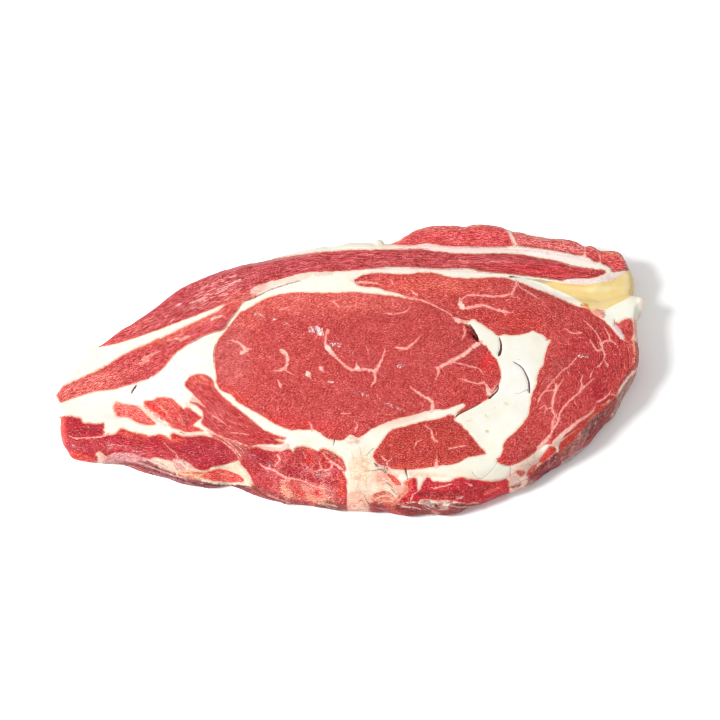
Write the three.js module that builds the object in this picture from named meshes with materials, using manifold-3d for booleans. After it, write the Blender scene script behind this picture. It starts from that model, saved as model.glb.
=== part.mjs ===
// A raw rib steak, one slice of meat laid flat: the round eye, the crescent and the
// lozenge beside it, the two long strips behind, the rib end in front, and the thin tail.
// Millimetres, +Z up. The underside is flat at z = 0, the length runs along X, the long
// strips are at +Y, and the tail is at -X.

import * as THREE from 'three';
import { mergeVertices } from 'three/addons/utils/BufferGeometryUtils.js';
import Module from 'manifold-3d';

// Thickness of the slice.
const FULL_THICKNESS = 19.6;
const TAIL_THICKNESS = 8.6;
const TAIL_END_X = -150;
const FULL_FROM_X = 0;

// How fine the solid is: cells along the length, cells across, and samples per stretch.
const CELLS_ALONG = 104;
const CELLS_ACROSS = 30;
const SAMPLES_PER_STATION = 24;

// Edge of the slice: the rounding at the rim and the foot, and the bulge of the wall.
const LIP = 0.9;
const FOOT_ROUND = 1.3;
const WALL_BULGE = 0.7;
const NORMAL_REACH = 4;

// The rim of the cut face, in stretches that go round the slice clockwise from above.
// height is the rim's height at the stretch's two ends, flare is how far the foot stands
// out past the rim (it tucks under where that is less than 0), and fall is how far in from
// the rim the cut face begins to drop towards it.
const SIDES = {
  back: [
    { name: 'fat between the two strips', height: [9.3, 10], flare: [0, 0], fall: [3, 3],
      points: [[-137.5, 6.5], [-132.5, 13], [-127, 15.5]] },
    { name: 'long strip and its fat edge', height: [11, 18], flare: [-1, -1], fall: [3, 5],
      points: [[-114.5, 27.5], [-97, 42], [-81, 53.5], [-66, 60], [-48, 66], [-33, 70],
        [-17.5, 73], [-2, 74], [12, 74.5], [19, 74.5]] },
    { name: 'first lump of the cap', height: [18, 18], flare: [-1, -1], fall: [5, 5],
      points: [[27, 75.5], [32.5, 82], [41, 85.5], [54.5, 86], [61, 84.5], [65.5, 86.3],
        [79.5, 85.5], [86, 82]] },
    { name: 'second lump of the cap', height: [18, 18], flare: [-1, -1], fall: [5, 5],
      points: [[90, 82], [98, 80.5], [108, 78], [119, 75.5], [122, 71.5]] },
    { name: 'last lumps of the cap', height: [18, 17.5], flare: [-1, -1], fall: [5, 4],
      points: [[127.5, 72], [130.5, 69.5], [140, 69]] },
  ],
  right: [
    { name: 'end of the strip', height: [17, 16], flare: [-1, -1], fall: [3, 3],
      points: [[144, 61.5], [145, 58]] },
    { name: 'ligament', height: [14.5, 16], flare: [-1, -1], fall: [3, 3],
      points: [[147, 54], [147, 49], [145, 42]] },
    { name: 'corner of fat', height: [17.5, 18], flare: [-1, -1], fall: [2, 2],
      points: [[149, 38.5], [147.5, 32], [146, 24], [146, 10]] },
  ],
  front: [
    { name: 'thick wall', height: [18, 18], flare: [-1.5, 1], fall: [2, 3],
      points: [[145, 0], [143, -4.5], [136.5, -14.5], [133, -21], [127, -26.5]] },
    { name: 'wall of the outer strip', height: [18, 15], flare: [2, 1], fall: [3, 6],
      points: [[116.5, -37], [112, -43.5], [102, -51]] },
    { name: 'low fat edge', height: [12, 9], flare: [0, -2], fall: [12, 14],
      points: [[96.5, -55], [90.5, -60.5], [80.5, -67], [68.5, -73.5], [60.5, -76.5]] },
    { name: 'edge of the low muscle', height: [11, 9.5], flare: [0.5, 0.5], fall: [14, 14],
      points: [[53, -77.5], [37.5, -76.5], [30, -77.5], [19, -76.5], [6, -75.5]] },
    { name: 'rib end', height: [9, 10], flare: [1, 3], fall: [16, 15],
      points: [[-8, -74.5], [-18, -71.5], [-31, -69.5], [-45, -64]] },
    { name: 'lens of meat on the slope', height: [12, 13], flare: [5, 5.5], fall: [8, 6],
      points: [[-52, -59], [-59, -56.5], [-65, -58]] },
    { name: 'front of the tail', height: [12.5, 8], flare: [3, 1], fall: [4, 3],
      points: [[-72, -59.5], [-84.5, -57], [-96, -53.5], [-103, -51.5], [-109, -49], [-124, -48]] },
  ],
  tail: [
    { name: 'square end of the tail', height: [8, 8.4], flare: [1, 0.5], fall: [3, 2],
      points: [[-136, -45], [-140.5, -40], [-142.5, -27], [-143.5, -20]] },
    { name: 'end of the second strip', height: [8.5, 9], flare: [0.5, 0], fall: [2, 2],
      points: [[-145.5, -12.5], [-142.5, -4.5]] },
  ],
};

// Muscles that stand proud of the fat round them.
const EYE = { x: 4, y: -3, halfLength: 71, halfWidth: 44, turn: -0.05, rise: 0.9 };
const LOZENGE = { x: 40, y: -50, halfLength: 27, halfWidth: 15, turn: 0, rise: 0.5 };
const RIDGES = [
  { name: 'long strip', halfWidth: 9, rise: 0.7,
    path: [[-122, 15], [-94, 31], [-66, 47], [-39, 57], [-4, 63], [36, 65], [78, 60], [130, 56]] },
  { name: 'second strip', halfWidth: 9, rise: 0.6,
    path: [[-142, -13], [-115, 0], [-90, 12], [-71, 25], [-57, 37]] },
  { name: 'tail muscle', halfWidth: 10, rise: 0.6,
    path: [[-136, -34], [-100, -42], [-78, -46], [-58, -46]] },
  { name: 'crescent', halfWidth: 16, rise: 0.6,
    path: [[36, 47], [84, 42], [112, 22], [118, -5], [100, -35], [82, -55]] },
];

// The ligament lies in a hollow between the long strip and the crescent.
const LIGAMENT = { halfWidth: 8, depth: 3, path: [[84, 49], [106, 44], [128, 41], [152, 48]] };

// Rough lumps where the knife went past the rib, as two crossing waves of unlike pitch.
const RIB_LUMPS = { x: -25, y: -58, halfLength: 32, halfWidth: 12, rise: 1.1, pitches: [17, 11] };

// Cracks where the fat has opened: centre line from start to end, and widest width.
const CRACK_DEPTH = 5;
const CRACK_STEPS = 3;
const CRACKS = [
  { name: 'beside the tip of the eye', from: [62, 17.5], to: [65.5, 11], width: 1.8 },
  { name: 'top of the fat block', from: [75.5, 12], to: [75.5, 3], width: 1.6 },
  { name: 'arc in the fat block', from: [86, -4.5], to: [91.5, -17], width: 0.9 },
  { name: 'end of the eye', from: [75, -15.5], to: [70.5, -23.5], width: 1.2 },
  { name: 'under the eye', from: [66, -25.5], to: [54, -32], width: 1.3 },
  { name: 'under the lozenge', from: [29, -63.5], to: [29.5, -68], width: 1.0 },
  { name: 'fat of the tail', from: [-105.5, -9.5], to: [-108, -13.5], width: 1.1 },
];

const MEAT = new THREE.MeshStandardMaterial({ color: 0xc8544f, roughness: 0.42, metalness: 0 });

const mix = (a, b, share) => a + (b - a) * share;
const smoothstep = (value) => THREE.MathUtils.smoothstep(value, 0, 1);

// The rim's stations: every point of every stretch, with its height, flare and fall.
function rimStations() {
  const stations = [];
  const firstOf = {};
  for (const [side, stretches] of Object.entries(SIDES)) {
    firstOf[side] = stations.length;
    for (const stretch of stretches) {
      const last = stretch.points.length - 1;
      stretch.points.forEach(([x, y], index) => {
        const share = last > 0 ? index / last : 0;
        const between = (pair) => mix(pair[0], pair[1], share);
        stations.push({
          x, y,
          height: between(stretch.height),
          flare: between(stretch.flare),
          fall: between(stretch.fall),
        });
      });
    }
  }
  return { stations, firstOf };
}

// A closed smooth rim through the stations, with ways to sample it by length.
function rimCurve() {
  const { stations, firstOf } = rimStations();
  const points = stations.map(({ x, y }) => new THREE.Vector3(x, y, 0));
  const curve = new THREE.CatmullRomCurve3(points, true, 'centripetal');
  curve.arcLengthDivisions = stations.length * SAMPLES_PER_STATION;
  const lengths = curve.getLengths();
  const total = lengths[lengths.length - 1];
  const lengthShare = (station) => lengths[station * SAMPLES_PER_STATION] / total;

  function sample(share) {
    const t = curve.getUtoTmapping(share % 1);
    const place = curve.getPoint(t);
    const index = Math.floor(t * stations.length) % stations.length;
    const here = stations[index];
    const next = stations[(index + 1) % stations.length];
    const part = t * stations.length - Math.floor(t * stations.length);
    return {
      x: place.x,
      y: place.y,
      height: mix(here.height, next.height, part),
      flare: mix(here.flare, next.flare, part),
      fall: mix(here.fall, next.fall, part),
    };
  }

  // Samples along one side, from its first station to the next side's first station.
  function side(name, nextName, cells) {
    const start = lengthShare(firstOf[name]);
    const end = nextName === 'back' ? 1 + lengthShare(firstOf.back) : lengthShare(firstOf[nextName]);
    return Array.from({ length: cells + 1 }, (_, step) => sample(mix(start, end, step / cells)));
  }
  return { side };
}

// Distance from a point to a path of straight pieces, and the nearest place's share of it.
function nearestOnPath(x, y, path) {
  let best = { distance: Infinity, share: 0 };
  for (let piece = 0; piece < path.length - 1; piece += 1) {
    const [ax, ay] = path[piece];
    const [bx, by] = path[piece + 1];
    const along = ((x - ax) * (bx - ax) + (y - ay) * (by - ay)) / ((bx - ax) ** 2 + (by - ay) ** 2);
    const clamped = THREE.MathUtils.clamp(along, 0, 1);
    const distance = Math.hypot(x - mix(ax, bx, clamped), y - mix(ay, by, clamped));
    if (distance < best.distance) {
      best = { distance, share: (piece + clamped) / (path.length - 1) };
    }
  }
  return best;
}

// Height of an oval muscle's crown over the fat, which is nought outside its border.
function crown(x, y, muscle) {
  const dx = x - muscle.x;
  const dy = y - muscle.y;
  const along = (dx * Math.cos(muscle.turn) + dy * Math.sin(muscle.turn)) / muscle.halfLength;
  const across = (dy * Math.cos(muscle.turn) - dx * Math.sin(muscle.turn)) / muscle.halfWidth;
  const inside = 1 - Math.hypot(along, across);
  return muscle.rise * smoothstep(inside * 3);
}

// Relief of the cut face over the plain slice: crowns, ridges, the hollow and the lumps.
function relief(x, y) {
  let height = crown(x, y, EYE) + crown(x, y, LOZENGE);
  for (const ridge of RIDGES) {
    const { distance } = nearestOnPath(x, y, ridge.path);
    height += ridge.rise * smoothstep(1.4 * (1 - distance / ridge.halfWidth));
  }
  const ligament = nearestOnPath(x, y, LIGAMENT.path);
  const hollow = smoothstep(1.3 * (1 - ligament.distance / LIGAMENT.halfWidth));
  height -= LIGAMENT.depth * hollow * Math.sin(Math.PI * Math.min(ligament.share, 0.5));
  const along = (x - RIB_LUMPS.x) / RIB_LUMPS.halfLength;
  const across = (y - RIB_LUMPS.y) / RIB_LUMPS.halfWidth;
  const patch = smoothstep(1.5 * (1 - Math.hypot(along, across)));
  const [longPitch, shortPitch] = RIB_LUMPS.pitches;
  const wave = Math.sin(2 * Math.PI * (x - 0.6 * y) / longPitch)
    + 0.6 * Math.sin(2 * Math.PI * (y + 0.7 * x) / shortPitch);
  return height + RIB_LUMPS.rise * patch * wave;
}

// The cut face as a grid of points between the four sides of the rim (a Coons patch). The
// rim itself is drawn in by the lip, and the face rises from it over the rim's fall.
function cutFace(rim) {
  const front = rim.side('front', 'tail', CELLS_ALONG).reverse();
  const back = rim.side('back', 'right', CELLS_ALONG);
  const left = rim.side('tail', 'back', CELLS_ACROSS);
  const right = rim.side('right', 'front', CELLS_ACROSS).reverse();
  const border = [...front.slice(0, -1), ...right.slice(0, -1),
    ...back.slice(1).reverse(), ...left.slice(1).reverse()];
  const blend = (key, i, j) => {
    const u = i / CELLS_ALONG;
    const v = j / CELLS_ACROSS;
    const corners = mix(mix(front[0][key], front[CELLS_ALONG][key], u),
      mix(back[0][key], back[CELLS_ALONG][key], u), v);
    return mix(front[i][key], back[i][key], v) + mix(left[j][key], right[j][key], u) - corners;
  };
  const rimPath = [...border, border[0]].map(({ x, y }) => [x, y]);
  const grid = [];
  for (let j = 0; j <= CELLS_ACROSS; j += 1) {
    for (let i = 0; i <= CELLS_ALONG; i += 1) {
      const x = blend('x', i, j);
      const y = blend('y', i, j);
      const { distance, share } = nearestOnPath(x, y, rimPath);
      const nearest = border[Math.round(share * border.length) % border.length];
      const lengthwise = smoothstep((x - TAIL_END_X) / (FULL_FROM_X - TAIL_END_X));
      const plateau = mix(TAIL_THICKNESS, FULL_THICKNESS, lengthwise) + relief(x, y);
      const rise = Math.sin(Math.min(distance / nearest.fall, 1) * Math.PI / 2);
      grid.push(new THREE.Vector3(x, y, mix(nearest.height, plateau, rise)));
    }
  }
  return { grid, border };
}

// Outward directions along the rim, evened out over a few neighbours.
function outwardDirections(border) {
  const count = border.length;
  return border.map((_, index) => {
    const before = border[(index - NORMAL_REACH + count) % count];
    const after = border[(index + NORMAL_REACH) % count];
    return new THREE.Vector2(after.y - before.y, before.x - after.x).normalize();
  });
}

// The wall as rings below the rim: the lip, the belly, the foot and the flat underside.
function wallRings(border) {
  const outward = outwardDirections(border);
  const ring = (offsetAt, heightAt) => border.map((station, index) => new THREE.Vector3(
    station.x + outward[index].x * offsetAt(station),
    station.y + outward[index].y * offsetAt(station),
    heightAt(station),
  ));
  const flareAt = (flare, depth) => (flare > 0 ? flare * Math.sin(depth * Math.PI / 2)
    : flare * (1 - Math.cos(depth * Math.PI / 2)));
  const bulgeAt = (depth) => WALL_BULGE * Math.sin(depth * Math.PI);
  const belly = (depth) => ring(
    ({ flare }) => flareAt(flare, depth) + bulgeAt(depth),
    ({ height }) => mix(height - LIP, FOOT_ROUND, depth),
  );
  return [
    ring(() => -LIP, ({ height }) => height),
    belly(0), belly(0.35), belly(0.7), belly(1),
    ring(({ flare }) => flareAt(flare, 1) - FOOT_ROUND, () => 0),
  ];
}

// One closed mesh: the cut face, the rings of the wall and the flat underside.
function sliceGeometry() {
  const { grid, border } = cutFace(rimCurve());
  const rings = wallRings(border);
  const columns = CELLS_ALONG + 1;
  const gridIndex = (i, j) => j * columns + i;
  const rimIndices = [];
  for (let i = 0; i < CELLS_ALONG; i += 1) rimIndices.push(gridIndex(i, 0));
  for (let j = 0; j < CELLS_ACROSS; j += 1) rimIndices.push(gridIndex(CELLS_ALONG, j));
  for (let i = CELLS_ALONG; i > 0; i -= 1) rimIndices.push(gridIndex(i, CELLS_ACROSS));
  for (let j = CELLS_ACROSS; j > 0; j -= 1) rimIndices.push(gridIndex(0, j));

  const vertices = grid;
  rimIndices.forEach((vertex, index) => vertices[vertex].copy(rings[0][index]));
  const triangles = [];
  for (let j = 0; j < CELLS_ACROSS; j += 1) {
    for (let i = 0; i < CELLS_ALONG; i += 1) {
      const corner = gridIndex(i, j);
      triangles.push([corner, corner + 1, corner + columns + 1]);
      triangles.push([corner, corner + columns + 1, corner + columns]);
    }
  }
  let upper = rimIndices;
  for (const ring of rings.slice(1)) {
    const lower = ring.map((point) => vertices.push(point) - 1);
    for (let index = 0; index < upper.length; index += 1) {
      const next = (index + 1) % upper.length;
      triangles.push([upper[index], lower[index], lower[next]]);
      triangles.push([upper[index], lower[next], upper[next]]);
    }
    upper = lower;
  }
  const footprint = upper.map((vertex) => new THREE.Vector2(vertices[vertex].x, vertices[vertex].y));
  for (const [a, b, c] of THREE.ShapeUtils.triangulateShape(footprint, [])) {
    triangles.push([upper[a], upper[c], upper[b]]);
  }
  const geometry = new THREE.BufferGeometry().setFromPoints(vertices);
  geometry.setIndex(triangles.flat());
  return geometry;
}

// A thin blade, pointed at both ends, which opens one crack from above.
function crackBlade({ from, to, width }) {
  const start = new THREE.Vector2(...from);
  const run = new THREE.Vector2(...to).sub(start);
  const side = new THREE.Vector2(-run.y, run.x).normalize();
  const bank = (sign) => Array.from({ length: CRACK_STEPS + 1 }, (_, step) => {
    const share = step / CRACK_STEPS;
    const half = sign * width / 2 * Math.sin(Math.PI * (0.04 + 0.92 * share));
    return start.clone().addScaledVector(run, share).addScaledVector(side, half);
  });
  const shape = new THREE.Shape([...bank(-1), ...bank(1).reverse()]);
  const blade = new THREE.ExtrudeGeometry(shape, { depth: 2 * CRACK_DEPTH, bevelEnabled: false });
  const middle = start.clone().addScaledVector(run, 0.5);
  const lengthwise = smoothstep((middle.x - TAIL_END_X) / (FULL_FROM_X - TAIL_END_X));
  blade.translate(0, 0, mix(TAIL_THICKNESS, FULL_THICKNESS, lengthwise) - CRACK_DEPTH);
  return blade;
}

// Cuts the cracks out of the slice.
async function cutCracks(slice) {
  const wasm = await Module();
  wasm.setup();
  const solidOf = (geometry) => {
    const bare = geometry.clone();
    bare.deleteAttribute('normal');
    bare.deleteAttribute('uv');
    const merged = mergeVertices(bare);
    return new wasm.Manifold(new wasm.Mesh({
      numProp: 3,
      vertProperties: new Float32Array(merged.attributes.position.array),
      triVerts: new Uint32Array(merged.index.array),
    }));
  };
  let solid = solidOf(slice);
  for (const crack of CRACKS) solid = solid.subtract(solidOf(crackBlade(crack)));
  const mesh = solid.getMesh();
  const geometry = new THREE.BufferGeometry();
  geometry.setAttribute('position', new THREE.BufferAttribute(new Float32Array(mesh.vertProperties), 3));
  geometry.setIndex(Array.from(mesh.triVerts));
  return geometry;
}

// Puts the origin under the middle of the slice's box.
function centred(geometry) {
  geometry.computeBoundingBox();
  const middle = geometry.boundingBox.getCenter(new THREE.Vector3());
  return geometry.translate(-middle.x, -middle.y, -geometry.boundingBox.min.z);
}

const geometry = centred(await cutCracks(sliceGeometry()));
geometry.computeVertexNormals();
const steak = new THREE.Mesh(geometry, MEAT);
steak.name = 'steak';

const group = new THREE.Group();
group.add(steak);

export default group;
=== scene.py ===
"""A raw ribeye steak lying flat: its fine surface, muscles, marbling, fat, membrane and studio light."""

import itertools
import math
import random
from collections import namedtuple

import bmesh
import bpy
import numpy as np
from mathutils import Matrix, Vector
from mathutils.bvhtree import BVHTree


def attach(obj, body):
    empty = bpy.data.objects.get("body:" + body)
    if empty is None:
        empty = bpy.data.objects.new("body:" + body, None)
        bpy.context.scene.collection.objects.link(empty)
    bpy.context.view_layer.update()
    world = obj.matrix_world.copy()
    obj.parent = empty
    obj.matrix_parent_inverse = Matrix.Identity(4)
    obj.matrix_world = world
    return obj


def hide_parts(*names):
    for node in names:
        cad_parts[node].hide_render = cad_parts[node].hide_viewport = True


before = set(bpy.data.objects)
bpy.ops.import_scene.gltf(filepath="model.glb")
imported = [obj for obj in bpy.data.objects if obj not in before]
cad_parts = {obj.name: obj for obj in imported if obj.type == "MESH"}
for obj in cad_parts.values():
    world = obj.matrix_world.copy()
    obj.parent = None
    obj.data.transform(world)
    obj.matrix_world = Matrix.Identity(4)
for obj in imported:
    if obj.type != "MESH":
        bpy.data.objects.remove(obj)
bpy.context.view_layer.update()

MM = 0.001
SEED = 7

# ---------------------------------------------------------------- the camera

FRAME_PX = 720
LENS_MM = 100.0
SENSOR_MM = 36.0
FOCAL_PX = LENS_MM / SENSOR_MM * FRAME_PX
CAMERA_DISTANCE = 1.0
CAMERA_ELEVATION = math.radians(56.44)
AIM = np.array([0.00425, -0.00466, 0.020])
TO_CAMERA = np.array([0.0, -math.cos(CAMERA_ELEVATION), math.sin(CAMERA_ELEVATION)])
CAMERA_RIGHT = np.array([1.0, 0.0, 0.0])
CAMERA_UP = np.cross(TO_CAMERA, CAMERA_RIGHT)
CAMERA_PLACE = AIM + TO_CAMERA * CAMERA_DISTANCE
PX_PER_MM = FOCAL_PX * MM / CAMERA_DISTANCE


def seen(points):
    """Where points in metres fall on the 720 px frame: x to the right, y down."""
    offset = points - CAMERA_PLACE
    depth = -(offset @ TO_CAMERA)
    across = FRAME_PX / 2 + FOCAL_PX * (offset @ CAMERA_RIGHT) / depth
    down = FRAME_PX / 2 - FOCAL_PX * (offset @ CAMERA_UP) / depth
    return np.stack([across, down], axis=1)


# ------------------------------------------------------------ the muscles
# Outlines and flows are in frame px. A tone is the sRGB colour that the cut lean has in even light.
# The fibres follow the flow, and their pattern is longer than it is wide by the stretch. The edge
# fades over the soft mm to either side. A bare muscle has no skin over its wall.

CRISP_EDGE = 0.38
Muscle = namedtuple("Muscle", "tone flow stretch outline soft bare", defaults=(CRISP_EDGE, False))

CROSS_GRAIN = [(40, 520), (150, 470), (560, 250), (670, 190)]
CAP_GRAIN = [(300, 250), (450, 236), (520, 241), (640, 266), (720, 285)]
CRESCENT_GRAIN = [
    (280, 262), (355, 278), (440, 290), (520, 306), (572, 332), (588, 362), (572, 405), (530, 465),
    (490, 520)]
HEM_GRAIN = [(530, 480), (580, 430)]
LONG_STRIP_GRAIN = [
    (20, 395), (90, 354), (150, 320), (215, 290), (300, 267), (400, 258.5), (480, 263), (610, 273),
    (700, 280)]
SECOND_STRIP_GRAIN = [(-20, 432), (50, 403), (110, 376), (160, 352), (200, 327), (245, 300), (300, 262)]
SCRAP_GRAIN = [(80, 398), (110, 408), (155, 421), (190, 432)]
SECOND_SCRAP_GRAIN = [(110, 376), (144, 402), (204, 434), (240, 452)]
LONG_MUSCLE_GRAIN = [(150, 330), (185, 372), (215, 400), (250, 430), (290, 450), (340, 470)]
WEB_GRAIN = [(190, 418), (215, 434), (240, 452), (262, 474)]
TAIL_GRAIN = [(-10, 420), (50, 434), (110, 445), (170, 453), (240, 463), (300, 470)]
SLOPE_GRAIN = [(170, 480), (200, 478), (242, 476), (280, 470)]
RIB_GRAIN = [(150, 450), (236, 470), (300, 478), (350, 492), (420, 505)]
LOZENGE_GRAIN = [(300, 478), (372, 460), (440, 440), (490, 432), (560, 420)]
LOW_GRAIN = [(330, 498), (395, 495), (515, 489), (600, 480)]
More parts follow.
